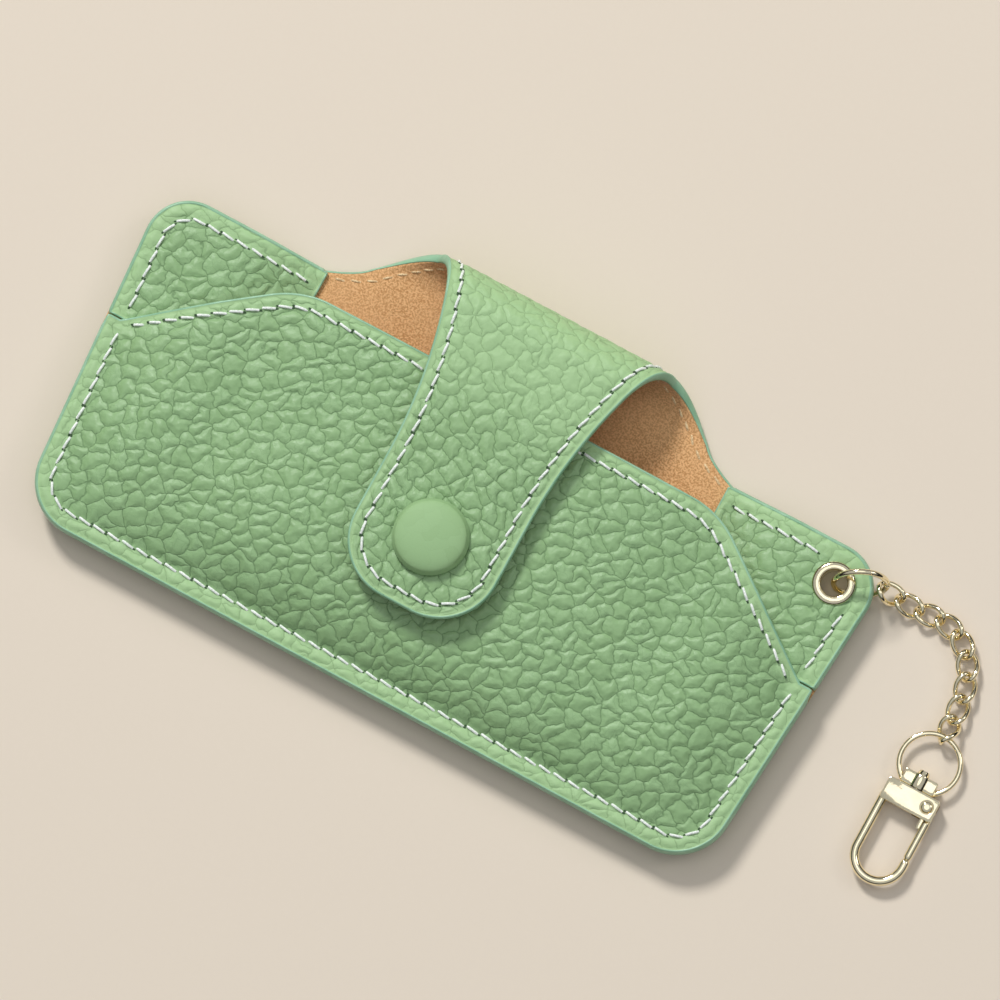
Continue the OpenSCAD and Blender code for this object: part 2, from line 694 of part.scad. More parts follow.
// Both edges of one strip of the strap
module strip_thread(v0, v1) {
    for (side = [-1, 1])
        stitches([for (n = [0:6]) let (v = v0 + (v1 - v0) * n / 6)
            [side * (strap_base(v) - strap_margin * 1.15), v]], strap_lift, 0);
}
tab_thread_path = concat(
    [for (n = [0:10]) let (v = strip_start(3) + (waist_v - strip_start(3)) * n / 10)
        [strap_base(v) - strap_margin, v]],
    [for (a = [0:15:90]) [tab_half - tab_r + (tab_r - strap_margin) * cos(a),
        tab_end_v - tab_r + (tab_r - strap_margin) * sin(a)]]);
tab_thread_loop = concat(tab_thread_path,
    [for (k = [len(tab_thread_path) - 1:-1:0]) [-tab_thread_path[k][0], tab_thread_path[k][1]]]);
module flap_thread_1() { color(thread_c) strip_thread(strip_start(0), strip_end(1)); }
module flap_thread_2() { color(thread_c) strip_thread(strip_start(1), strip_end(2)); }
module flap_thread_3() { color(thread_c) strip_thread(strip_start(2), strip_end(3)); }
module flap_thread_tab() { color(thread_c) stitches(tab_thread_loop, strap_lift); }

back_panel();
back_lining();
facing_left();
facing_right();
front_panel();
front_lining();
snap_stud();
snap_stud_post();
eyelet();
eyelet_washer();
side_thread();
ear_thread();
mouth_thread();
flap_leather_1();
flap_leather_2();
flap_leather_3();
flap_leather_tab();
flap_lining_1();
flap_lining_2();
flap_lining_3();
flap_lining_tab();
flap_thread_1();
flap_thread_2();
flap_thread_3();
flap_thread_tab();
snap_cap();
snap_cap_cover();
snap_socket();
jump_ring();
chain_link_1();
chain_link_2();
chain_link_3();
chain_link_4();
chain_link_5();
chain_link_6();
chain_link_7();
chain_link_8();
chain_link_9();
clasp_ring();
clasp_block();
clasp_swivel_post();
clasp_hook();
clasp_gate();
gate_rivet();
gate_spring();
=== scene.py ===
import math

import bmesh
import bpy
import numpy as np
from mathutils import Matrix, Vector
from mathutils.kdtree import KDTree


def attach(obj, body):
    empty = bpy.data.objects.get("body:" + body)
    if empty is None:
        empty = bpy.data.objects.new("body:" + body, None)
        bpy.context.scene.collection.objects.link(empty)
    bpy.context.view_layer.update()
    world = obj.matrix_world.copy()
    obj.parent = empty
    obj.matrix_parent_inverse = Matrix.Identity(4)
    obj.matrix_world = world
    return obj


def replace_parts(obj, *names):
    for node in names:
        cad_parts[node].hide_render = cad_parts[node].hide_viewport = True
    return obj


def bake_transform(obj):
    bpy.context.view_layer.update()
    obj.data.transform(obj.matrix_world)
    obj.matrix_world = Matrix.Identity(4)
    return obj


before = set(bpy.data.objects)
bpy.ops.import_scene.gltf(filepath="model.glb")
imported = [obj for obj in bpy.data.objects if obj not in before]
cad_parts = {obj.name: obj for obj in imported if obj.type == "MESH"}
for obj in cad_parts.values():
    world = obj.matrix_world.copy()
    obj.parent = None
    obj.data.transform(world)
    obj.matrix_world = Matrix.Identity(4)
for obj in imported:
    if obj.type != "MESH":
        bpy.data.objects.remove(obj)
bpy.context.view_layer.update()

METRE = 0.001

# ---- the case's sizes, as in the part's source ----

EAR_HALF, BOTTOM_HALF = 83.0, 78.0
EAR_Y, BOTTOM_Y = 36.2, -36.2
BOTTOM_R, EAR_R = 11.0, 10.0
MOUTH_SIDE_Y, MOUTH_SIDE_HALF, MOUTH_TOP_Y = 7.2, 78.0, 29.6
SHOULDER_SLOPE, SHOULDER_R = 0.744, 19.2
LEATHER, LINING = 1.2, 0.8
STACK = LEATHER + LINING
SEAM_Z, POCKET_H, SEAM_GAP = 3.0, 9.35, 0.15
FOLD_Y, FOLD_R = 41.0, 8.65
STRAP_MID_HALF, TAB_HALF, WAIST_R = 27.2, 16.1, 110.0
TAB_LEN, TAB_R = 59.0, 12.7
NECK_HALF, FLAT_HALF, CURL_Y, FULL_Y = 46.0, 64.0, -14.0, -8.0
SNAP_Y, SNAP_R, SNAP_DOME = -3.0, 7.8, 3.4
EYELET = np.array([74.3, 28.1])
EYELET_BORE, EYELET_R = 2.7, 4.4
JUMP_R, JUMP_WIRE, JUMP_DIR, JUMP_LEAN, JUMP_Z = 5.4, 0.6, 27.7, 19.0, 5.9
LINK_LEN, LINK_HALF, LINK_WIRE, LINK_SLACK = 6.9, 1.93, 0.525, 0.22
CLASP_RING_R, CLASP_RING_WIRE = 6.15, 0.55
STITCH_PITCH, STITCH_LEN, THREAD_R = 3.3, 2.3, 0.3
BODY_MARGIN, STRAP_MARGIN, MOUTH_MARGIN = 3.9, 2.85, 3.0
STITCH_SLANT, STITCH_SINK, STITCH_ARCH, NEEDLE_HOLE = math.radians(-9), 0.12, 0.42, 0.29
STITCH_TAIL, STITCH_START = 0.25, 1.0
SIDE_SLOPE = (EAR_HALF - BOTTOM_HALF) / (30 - BOTTOM_Y)
FLAT_V = FOLD_Y + math.pi * FOLD_R
WAIST_V = FLAT_V + 33.0
TAB_END_V = FLAT_V + TAB_LEN
SLOPE_END_V = EAR_Y + 16.8
FOLD_CUTS = [FOLD_Y + FOLD_R * math.radians(45) * k for k in range(5)]
SEAM_STACK = 2 * STACK + SEAM_GAP
EAR_STACK = STACK + LEATHER
SHOULDER_ANGLE = math.atan(SHOULDER_SLOPE)
SHOULDER_CX = (MOUTH_SIDE_HALF - (MOUTH_TOP_Y - MOUTH_SIDE_Y) / SHOULDER_SLOPE
               - SHOULDER_R * math.tan(SHOULDER_ANGLE / 2))

# Insets of the faces from the outlines, taken up by the rounded painted edges
BODY_EDGE, STRAP_EDGE, MOUTH_EDGE, FACING_EDGE = 0.8, 0.5, 0.5, 0.4
# Spacing of the grids, degrees between rows round a corner, and loops round an edge
GRID, LINING_GRID, CORNER_STEP, EDGE_LOOPS = 0.42, 1.1, 4.5, 7
# Width of the bare rim inside the painted edge, and the distances over which relief and stitched margins fade
RIM_FREE, FADE, MARGIN_LEAD = 0.6, 0.9, 0.5
# Reach and depth of the dip under a line of stitches, and of the roll beside the painted edge
DIP_REACH, DIP_DEPTH, ROLL_AT, ROLL_REACH, ROLL_DEPTH = 1.1, 0.3, 1.0, 0.7, 0.25
# Height of the pebbles, and how far the lining's edge stays inside the leather's
GRAIN_DEPTH, LINING_SLIP = 0.36, 0.06
# Reach of the leather's holes beyond the eyelet's bore, and the overlaps that keep skins from meeting
HOLE_ROOM, LAP, LINING_LAP = 0.35, 0.02, 0.03


def unit(t):
    return np.clip(t, 0, 1)


def smooth(t):
    t = unit(t)
    return t * t * (3 - 2 * t)


def side_x(y):
    return BOTTOM_HALF + (y - BOTTOM_Y) * SIDE_SLOPE


def corner_cut(d, r):
    d = np.maximum(d, 0)
    return np.where(d < r, r - np.sqrt(np.maximum(0, r * r - (r - np.minimum(d, r)) ** 2)), 0.0)


def body_x(y, inset=0.0):
    """Half-width of the body at height y, drawn in from its outline by inset."""
    return (side_x(y) - inset - corner_cut(y - BOTTOM_Y - inset, BOTTOM_R - inset)
            - corner_cut(EAR_Y - inset - y, EAR_R - inset))


def front_x(y, inset=0.0):
    """Half-width of the front panel's shoulders at height y."""
    r = SHOULDER_R - inset
    slope_x = MOUTH_SIDE_HALF - (y - MOUTH_SIDE_Y) / SHOULDER_SLOPE - inset / math.sin(SHOULDER_ANGLE)
    bend_y = MOUTH_TOP_Y - SHOULDER_R + r * math.cos(SHOULDER_ANGLE)
    rise = np.minimum(y - MOUTH_TOP_Y + SHOULDER_R, r)
    return np.where(y < bend_y, slope_x, SHOULDER_CX + np.sqrt(np.maximum(0, r * r - rise ** 2)))


def strap_base(v):
    waist = TAB_HALF + WAIST_R - np.sqrt(WAIST_R ** 2 - np.clip(WAIST_V - v, 0, WAIST_R) ** 2)
    slope = STRAP_MID_HALF + (SLOPE_END_V - v) * 0.95 + 3 * np.maximum(0, 1 - (v - EAR_Y) / 4) ** 2
    return np.where(v < SLOPE_END_V, slope, waist)


def strap_side_x(v, inset):
    """Half-width of the strap without its round corners, drawn in square to its edge."""
    slope = (strap_base(v + 0.05) - strap_base(v - 0.05)) / 0.1
    return strap_base(v) - inset * np.minimum(np.sqrt(1 + slope ** 2), 1.4)


def strap_x(v, inset=0.0):
    return strap_side_x(v, inset) - corner_cut(TAB_END_V - inset - v, TAB_R - inset)


def back_z(x, y):
    return SEAM_Z * (1 - smooth((FLAT_HALF - abs(x)) / (FLAT_HALF - NECK_HALF))
                     * smooth((y - BOTTOM_Y) / (CURL_Y - BOTTOM_Y)))


def pocket(x, y):
    """Opening between the linings: none in the sewn margin, full in the middle."""
    across = np.minimum(1, abs(x) / (side_x(y) - BODY_MARGIN - 0.4)) ** 3
    down = unit((FULL_Y - y) / (FULL_Y - BOTTOM_Y - BODY_MARGIN)) ** 2.5
    full = (1 - across) * (1 - down)
    return SEAM_GAP + POCKET_H * (np.sqrt(full ** 2 + 0.0016) - 0.04)


def bend(x, v, t):
    """A point of the back and the strap: x across, v along the pattern, t in from the outer skin."""
    x, v, t = np.broadcast_arrays(np.asarray(x, float), v, t)
    turn = np.clip((v - FOLD_Y) / FOLD_R, 0, math.pi)
    y = np.where(v <= FOLD_Y, v, np.where(v >= FLAT_V, FOLD_Y + FLAT_V - v, FOLD_Y + (FOLD_R - t) * np.sin(turn)))
    z = np.where(v <= FOLD_Y, back_z(x, v) + t, FOLD_R - (FOLD_R - t) * np.cos(turn))
    return np.stack([x, y, z], -1)


def front_skin(x, y, t):
    """A point of the front panel, t down from its face."""
    x, y, t = np.broadcast_arrays(np.asarray(x, float), y, t)
    sag = 0.22 * np.sin(x / 17.0 + 0.6) * np.sin(y / 9.0 + 0.3) * smooth((side_x(y) - abs(x) - 5) / 16)
    return np.stack([x, y, back_z(x, y) + 2 * STACK + pocket(x, y) - t + sag * smooth((y - BOTTOM_Y - 5) / 12)], -1)


def facing_skin(x, y, t):
    return bend(x, y, EAR_STACK - t)


def lining_skin(x, v, t):
    """The suede side of the back and the strap, t out from it."""
    return bend(x, v, STACK - t)


def front_lining_skin(x, y, t):
    """The suede side of the front panel, t up from it."""
    point = front_skin(x, y, STACK)
    point[..., 2] += t
    return point


# ---- meshes ----

def link_object(name, mesh):
    obj = bpy.data.objects.new(name, mesh)
    bpy.context.scene.collection.objects.link(obj)
    return obj


def make_mesh(name, points, faces=(), materials=(), smooth_faces=True):
    """A mesh object from points in millimetres and faces of point numbers."""
    mesh = bpy.data.meshes.new(name)
    mesh.from_pydata((np.asarray(points) * METRE).tolist(), [], [list(f) for f in faces])
    for material in materials:
        mesh.materials.append(material)
    mesh.polygons.foreach_set("use_smooth", np.full(len(mesh.polygons), smooth_faces))
    mesh.update()
    return link_object(name, mesh)


def put_attribute(mesh, name, values):
    values = np.asarray(values, np.float32)
    kind = "FLOAT_VECTOR" if values.ndim == 2 else "FLOAT"
    layer = mesh.attributes.new(name, kind, "POINT")
    layer.data.foreach_set("vector" if values.ndim == 2 else "value", values.ravel())


def corners_of(obj):
    co = np.empty(len(obj.data.vertices) * 3, np.float32)
    obj.data.vertices.foreach_get("co", co)
    return co.reshape(-1, 3)


def steps(a, b, size):
    """Points from a to just before b, about size apart."""
    n = max(1, math.ceil(abs(b - a) / size))
    return list(a + (b - a) * np.arange(n) / n)


# ---- node trees ----

def add(tree, kind, links=None, **settings):
    node = tree.nodes.new(kind)
    for key, value in settings.items():
        setattr(node, key, value)
    for key, value in (links or {}).items():
        if isinstance(value, bpy.types.NodeSocket):
            tree.links.new(value, node.inputs[key])
        else:
            node.inputs[key].default_value = value
    return node


def sums(tree, operation, a, b=0.0, c=0.0):
    return add(tree, "ShaderNodeMath", {0: a, 1: b, 2: c}, operation=operation).outputs[0]


def vectors(tree, operation, a, b):
    return add(tree, "ShaderNodeVectorMath", {0: a, 1: b}, operation=operation).outputs[0]


def scaled(tree, vector, scale):
    return add(tree, "ShaderNodeVectorMath", {0: vector, "Scale": scale}, operation="SCALE").outputs[0]


def ramp(tree, value, low, high, out_low=0.0, out_high=1.0):
    return add(tree, "ShaderNodeMapRange",
               {"Value": value, "From Min": low, "From Max": high, "To Min": out_low, "To Max": out_high},
               interpolation_type="SMOOTHSTEP").outputs[0]


PEBBLE_LONG, PEBBLE_WIDE, PEBBLE_TURN = 3.7, 2.9, math.radians(-32)


def pebble_nodes(tree, hide):
    """The grain of the hide, from a place on it in millimetres: height, crease, tone of each pebble."""
    moved = hide
    for scale, reach in ((0.24, 4.2), (1.1, 0.5)):
        ripple = add(tree, "ShaderNodeTexNoise", {"Vector": hide, "Scale": scale, "Detail": 2.0})
        centred = vectors(tree, "SUBTRACT", ripple.outputs["Color"], (0.5, 0.5, 0.5))
        moved = vectors(tree, "ADD", moved, vectors(tree, "MULTIPLY", centred, (reach, reach, 0)))
    turned = add(tree, "ShaderNodeVectorRotate", {"Vector": moved, "Angle": PEBBLE_TURN}, rotation_type="Z_AXIS")
    place = vectors(tree, "MULTIPLY", turned.outputs[0], (1 / PEBBLE_LONG, 1 / PEBBLE_WIDE, 0))

    def pebbles(feature, scale=1.0, randomness=0.8):
        return add(tree, "ShaderNodeTexVoronoi", {"Vector": place, "Scale": scale, "Randomness": randomness},
                   voronoi_dimensions="2D", feature=feature)
    edge, cell = pebbles("DISTANCE_TO_EDGE"), pebbles("F1")
    small = pebbles("DISTANCE_TO_EDGE", 2.3, 1.0)
    tone = add(tree, "ShaderNodeSeparateColor" if tree.type == "SHADER" else "FunctionNodeSeparateColor",
               {"Color": cell.outputs["Color"]}).outputs[0]
    depth = ramp(tree, ripple.outputs[0], 0.32, 0.6, 0.6, 1.0)
    crease = sums(tree, "MULTIPLY", ramp(tree, edge.outputs["Distance"], 0.0, 0.065, 1.0, 0.0), depth)
    dome = sums(tree, "POWER", ramp(tree, edge.outputs["Distance"], -0.08, 0.44), 0.65)
    fine = sums(tree, "MULTIPLY", ramp(tree, small.outputs["Distance"], 0.0, 0.08, 1.0, 0.0),
                ramp(tree, tone, 0.35, 0.8))
    height = sums(tree, "MULTIPLY_ADD", dome, 0.85, sums(tree, "MULTIPLY", crease, -0.2))
    height = sums(tree, "SUBTRACT", height, sums(tree, "MULTIPLY", fine, 0.05))
    height = sums(tree, "MULTIPLY_ADD", tone, 0.14, height)
    height = sums(tree, "MULTIPLY_ADD", ripple.outputs[0], 0.35, height)
    return height, crease, fine, tone


def stored(tree, name, kind="FLOAT_VECTOR"):
    return add(tree, "GeometryNodeInputNamedAttribute", {"Name": name}, data_type=kind).outputs[0]


def painted(tree, geometry, material):
    """Instances made real, with a material."""
    real = add(tree, "GeometryNodeRealizeInstances", {"Geometry": geometry}).outputs[0]
    return add(tree, "GeometryNodeSetMaterial", {"Geometry": real, "Material": material}).outputs[0]


def group_tree(name, kind, inputs, outputs):
    """A node group with the named sockets, given as pairs of a name and the kind of socket."""
    tree = bpy.data.node_groups.new(name, kind)
    for side, sockets in (("INPUT", inputs), ("OUTPUT", outputs)):
        for socket_name, socket_kind in sockets:
            tree.interface.new_socket(socket_name, in_out=side, socket_type="NodeSocket" + socket_kind)
    return tree, tree.nodes.new("NodeGroupInput"), tree.nodes.new("NodeGroupOutput")


def run_tree(obj, tree, values):
    """Gives obj the mesh that the tree makes of it, with the tree's named inputs set to values."""
    modifier = obj.modifiers.new(tree.name, "NODES")
    modifier.node_group = tree
    for item in tree.interface.items_tree:
        if item.item_type == "SOCKET" and item.in_out == "INPUT" and item.name in values:
            modifier[item.identifier] = values[item.name]
    graph = bpy.context.evaluated_depsgraph_get()
    mesh = bpy.data.meshes.new_from_object(obj.evaluated_get(graph), preserve_all_data_layers=True, depsgraph=graph)
    obj.modifiers.remove(modifier)
    obj.data = mesh
    return obj


# ---- finishes ----

def principled(name, colour, roughness, **sockets):
    """A material with its tree and shader, with the named sockets of the shader set."""
    material = bpy.data.materials.new(name)
    material.use_nodes = True
    tree = material.node_tree
    shader = tree.nodes["Principled BSDF"]
    shader.inputs["Base Color"].default_value = (*colour, 1)
    shader.inputs["Roughness"].default_value = roughness
    for key, value in sockets.items():
        shader.inputs[key.replace("_", " ")].default_value = value
    material.diffuse_color = (*colour, 1)
    return material, tree, shader


def blend_colour(tree, factor, a, b):
    return add(tree, "ShaderNodeMix", {0: factor, 6: a, 7: b}, data_type="RGBA").outputs[2]


def finish_with(tree, shader, **values):
    for key, value in values.items():
        tree.links.new(value, shader.inputs[key.replace("_", " ")])


def bump(tree, height, distance):
    return add(tree, "ShaderNodeBump", {"Height": height, "Distance": distance}).outputs[0]


def noise(tree, vector, scale, detail):
    return add(tree, "ShaderNodeTexNoise", {"Vector": vector, "Scale": scale, "Detail": detail}).outputs[0]


def hide_group():
    """Pebbled hide: grain height, the mask of painted shade in its creases, and tone, faded by the piece's own
    relief.
    """
    tree, ins, outs = group_tree("pebbled hide", "ShaderNodeTree",
                                 [("Place", "Vector"), ("Relief", "Float")],
                                 [(n, "Float") for n in ("Height", "Crease shade", "Tone")])
    height, crease, fine, tone = pebble_nodes(tree, ins.outputs["Place"])
    pore = noise(tree, ins.outputs["Place"], 3.2, 4.0)
    relief = ins.outputs["Relief"]
    total = sums(tree, "MULTIPLY", height, relief)
    total = sums(tree, "MULTIPLY_ADD", pore, 0.16, total)
    # Where the creases and fine cracks get painted shade
    crease_shade = sums(tree, "MULTIPLY", sums(tree, "MAXIMUM", crease, sums(tree, "MULTIPLY", fine, 0.3)), relief)
    for value, socket in ((total, "Height"), (crease_shade, "Crease shade"), (tone, "Tone")):
        tree.links.new(value, outs.inputs[socket])
    return tree


HIDE = hide_group()
LEATHER_BASE = (0.262, 0.425, 0.192)
# Painted shade for the creases between the pebbles
LEATHER_CREASE_SHADE = (0.085, 0.165, 0.062)
LEATHER_LIGHT = (0.315, 0.495, 0.240)
# Painted light, laid on the bare rims, the stitched margins and the strap
LEATHER_PAINTED_LIGHT = (0.385, 0.580, 0.285)


def leather_material(name, bump_depth=0.00022, painted_light=0.8):
    material, tree, shader = principled(name, LEATHER_BASE, 0.5, Specular_IOR_Level=0.42)
    place = add(tree, "ShaderNodeAttribute", attribute_name="hide")
    relief = add(tree, "ShaderNodeAttribute", attribute_name="relief")
    hide = add(tree, "ShaderNodeGroup", node_tree=HIDE)
    tree.links.new(place.outputs["Vector"], hide.inputs["Place"])
    tree.links.new(relief.outputs["Fac"], hide.inputs["Relief"])
    patch = noise(tree, place.outputs["Vector"], 0.06, 3.0)
    tone = blend_colour(tree, ramp(tree, hide.outputs["Tone"], 0.0, 1.0, 0.0, 0.55),
                        (*LEATHER_BASE, 1), (*LEATHER_LIGHT, 1))
    wear_and_painted_light = blend_colour(tree, ramp(tree, patch, 0.35, 0.7, 0.0, 0.22), tone, (0.225, 0.385, 0.170, 1))
    # Painted light: wherever the relief is below 1 (the bare rims, the stitched margins, the strap round its fold and
    # over the front, and the whole snap cap) the leather is painted lighter
    painted_light_mask = ramp(tree, relief.outputs["Fac"], 0.5, 1.0, painted_light, 0.0)
    wear_and_painted_light = blend_colour(tree, painted_light_mask, wear_and_painted_light, (*LEATHER_PAINTED_LIGHT, 1))
    # Painted shade: the creases are painted dark green
    crease_shade = blend_colour(tree, sums(tree, "MULTIPLY", hide.outputs["Crease shade"], 0.62), wear_and_painted_light, (*LEATHER_CREASE_SHADE, 1))
    finish_with(tree, shader, Base_Color=crease_shade, Roughness=ramp(tree, hide.outputs["Height"], 0.2, 1.0, 0.66, 0.44),
                Normal=bump(tree, hide.outputs["Height"], bump_depth))
    return material


def edge_material():
    material, tree, shader = principled("painted edge", (0.27, 0.50, 0.31), 0.34, Specular_IOR_Level=0.5)
    where = add(tree, "ShaderNodeTexCoord").outputs["Object"]
    wave = noise(tree, where, 900.0, 3.0)
    slow = noise(tree, where, 140.0, 2.0)
    colour = blend_colour(tree, ramp(tree, slow, 0.3, 0.7), (0.235, 0.45, 0.275, 1), (0.31, 0.54, 0.35, 1))
    finish_with(tree, shader, Base_Color=colour, Roughness=ramp(tree, wave, 0.3, 0.7, 0.28, 0.42),
                Normal=bump(tree, wave, 0.00008))
    return material


def suede_material():
    material, tree, shader = principled("suede lining", (0.56, 0.31, 0.135), 0.95, Specular_IOR_Level=0.15,
                                        Sheen_Weight=0.25, Sheen_Roughness=0.5)
    where = add(tree, "ShaderNodeTexCoord").outputs["Object"]
    nap = noise(tree, where, 2600.0, 4.0)
    fibre = add(tree, "ShaderNodeMapping", {"Vector": where, "Scale": (1.0, 0.35, 1.0),
                                            "Rotation": (0, 0, 0.5)})
    streak = noise(tree, fibre.outputs[0], 900.0, 3.0)
    brushed = noise(tree, where, 70.0, 3.0)
    base = blend_colour(tree, ramp(tree, nap, 0.38, 0.62), (0.50, 0.26, 0.10, 1), (0.80, 0.47, 0.22, 1))
    base = blend_colour(tree, ramp(tree, brushed, 0.35, 0.65, 0.0, 0.35), base, (0.74, 0.44, 0.21, 1))
    finish_with(tree, shader, Base_Color=base, Normal=bump(tree, sums(tree, "ADD", nap, streak), 0.00012))
    return material


def thread_material(name, colour, dark):
    material, tree, shader = principled(name, colour, 0.62)
    where = add(tree, "ShaderNodeTexCoord").outputs["Object"]
    ply = noise(tree, where, 2400.0, 2.0)
    strand = blend_colour(tree, ramp(tree, ply, 0.35, 0.65), (*dark, 1), (*colour, 1))
    finish_with(tree, shader, Base_Color=strand, Normal=bump(tree, ply, 0.00010))
    return material


def gold_material(name, colour, roughness):
    material, tree, shader = principled(name, colour, roughness, Metallic=1.0)
    where = add(tree, "ShaderNodeTexCoord").outputs["Object"]
    haze = noise(tree, where, 260.0, 4.0)
    rub = noise(tree, where, 1500.0, 2.0)
    deep = tuple(0.86 * c for c in colour)
    tint = blend_colour(tree, ramp(tree, haze, 0.35, 0.65), (*colour, 1), (*deep, 1))
    finish_with(tree, shader, Base_Color=tint, Normal=bump(tree, rub, 0.000012),
                Roughness=ramp(tree, haze, 0.3, 0.7, roughness * 0.8, roughness * 1.3))
    return material


leather = leather_material("pebbled leather")
# The cap's relief is low, so its painted light covers it all over
cap_leather = leather_material("smooth cap leather", bump_depth=0.00016, painted_light=0.28)
edge_paint = edge_material()
suede = suede_material()
thread = thread_material("pale thread", (0.95, 0.96, 0.91), (0.70, 0.77, 0.68))
tan_thread = thread_material("tan thread", (0.84, 0.64, 0.36), (0.56, 0.36, 0.17))
# Painted shade: dark discs sunk at the needle holes
hole_shade = principled("needle hole shade", (0.04, 0.08, 0.035), 0.9)[0]
gold = gold_material("polished pale gold", (0.98, 0.87, 0.59), 0.09)
gold_inner = gold_material("plain gold", (0.72, 0.60, 0.38), 0.32)

# ---- grain and stitches as node trees ----

def relief_tree():
    """Moves points along their own up direction by the grain of the hide."""
    tree, ins, outs = group_tree("hide relief", "GeometryNodeTree",
                                 [("Geometry", "Geometry"), ("Depth", "Float")],
                                 [("Geometry", "Geometry")])
    hide, up, relief = stored(tree, "hide"), stored(tree, "up"), stored(tree, "relief", "FLOAT")
    height = pebble_nodes(tree, hide)[0]
    lift = sums(tree, "MULTIPLY", sums(tree, "MULTIPLY", sums(tree, "SUBTRACT", height, 0.85), relief),
                ins.outputs["Depth"])
    moved = add(tree, "GeometryNodeSetPosition",
                {"Geometry": ins.outputs["Geometry"], "Offset": scaled(tree, up, lift)})
    tree.links.new(moved.outputs[0], outs.inputs[0])
    return tree


def stitch_tree():
    """One arched stitch on each point, with two dark discs of painted shade at its needle holes, laid along the
    point's own direction.
    """
    tree, ins, outs = group_tree("stitches", "GeometryNodeTree",
                                 [("Geometry", "Geometry"), ("Length", "Float"),
                                  ("Thread", "Float"), ("Arch", "Float"),
                                  ("Hole", "Float"), ("Pitch", "Float"),
                                  ("Thread material", "Material"), ("Hole shade material", "Material")],
                                 [("Geometry", "Geometry")])
    half = sums(tree, "MULTIPLY", ins.outputs["Length"], 0.5)
    low = sums(tree, "MULTIPLY", ins.outputs["Thread"], -0.9)
    start = add(tree, "ShaderNodeCombineXYZ", {"X": sums(tree, "MULTIPLY", half, -1.0), "Z": low}).outputs[0]
    middle = add(tree, "ShaderNodeCombineXYZ", {"Z": ins.outputs["Arch"]}).outputs[0]
    end = add(tree, "ShaderNodeCombineXYZ", {"X": half, "Z": low}).outputs[0]
    arch = add(tree, "GeometryNodeCurveQuadraticBezier",
               {"Resolution": 6, "Start": start, "Middle": middle, "End": end}).outputs[0]
    ring = add(tree, "GeometryNodeCurvePrimitiveCircle", {"Resolution": 7, "Radius": ins.outputs["Thread"]},
               mode="RADIUS").outputs[0]
    body = add(tree, "GeometryNodeCurveToMesh", {"Curve": arch, "Profile Curve": ring, "Fill Caps": True}).outputs[0]
    body = add(tree, "GeometryNodeSetShadeSmooth", {"Geometry": body}).outputs[0]
    hole = add(tree, "GeometryNodeMeshUVSphere",
               {"Segments": 8, "Rings": 5, "Radius": ins.outputs["Hole"]}).outputs["Mesh"]
    flat = add(tree, "GeometryNodeTransform", {"Geometry": hole, "Scale": (1.25, 0.85, 0.4)}).outputs[0]
    along, up = stored(tree, "along"), stored(tree, "up")
    lie = add(tree, "FunctionNodeAlignRotationToVector", {"Vector": up}, axis="Z").outputs[0]
    turn = add(tree, "FunctionNodeAlignRotationToVector", {"Rotation": lie, "Vector": along},
               axis="X", pivot_axis="Z").outputs[0]
    threads = add(tree, "GeometryNodeInstanceOnPoints",
                  {"Points": ins.outputs["Geometry"], "Instance": body, "Rotation": turn}).outputs[0]
    threads = painted(tree, threads, ins.outputs["Thread material"])
    joined = add(tree, "GeometryNodeJoinGeometry")
    for side in (-0.5, 0.5):
        shift = scaled(tree, along, sums(tree, "MULTIPLY", ins.outputs["Pitch"], side))
        sunk = scaled(tree, up, sums(tree, "MULTIPLY", ins.outputs["Thread"], -0.75))
        points = add(tree, "GeometryNodeSetPosition",
                     {"Geometry": ins.outputs["Geometry"], "Offset": vectors(tree, "ADD", shift, sunk)}).outputs[0]
        # Dark discs of painted shade at the needle holes
        hole_shades = add(tree, "GeometryNodeInstanceOnPoints",
                    {"Points": points, "Instance": flat, "Rotation": turn}).outputs[0]
        tree.links.new(painted(tree, hole_shades, ins.outputs["Hole shade material"]), joined.inputs[0])
    tree.links.new(threads, joined.inputs[0])
    tree.links.new(joined.outputs[0], outs.inputs[0])
    return tree


RELIEF = relief_tree()
STITCH = stitch_tree()


# ---- sheets ----

def cell_corners(grid, cells=None):
    """The four corner ids of each cell of a grid, or of the chosen cells."""
    corners = grid[:-1, :-1], grid[:-1, 1:], grid[1:, 1:], grid[1:, :-1]
    return corners if cells is None else tuple(k[cells] for k in corners)


def points_of(cells):
    """Which points of a grid touch any of the chosen cells."""
    wide = np.pad(cells, 1)
    return wide[:-1, :-1] | wide[:-1, 1:] | wide[1:, :-1] | wide[1:, 1:]


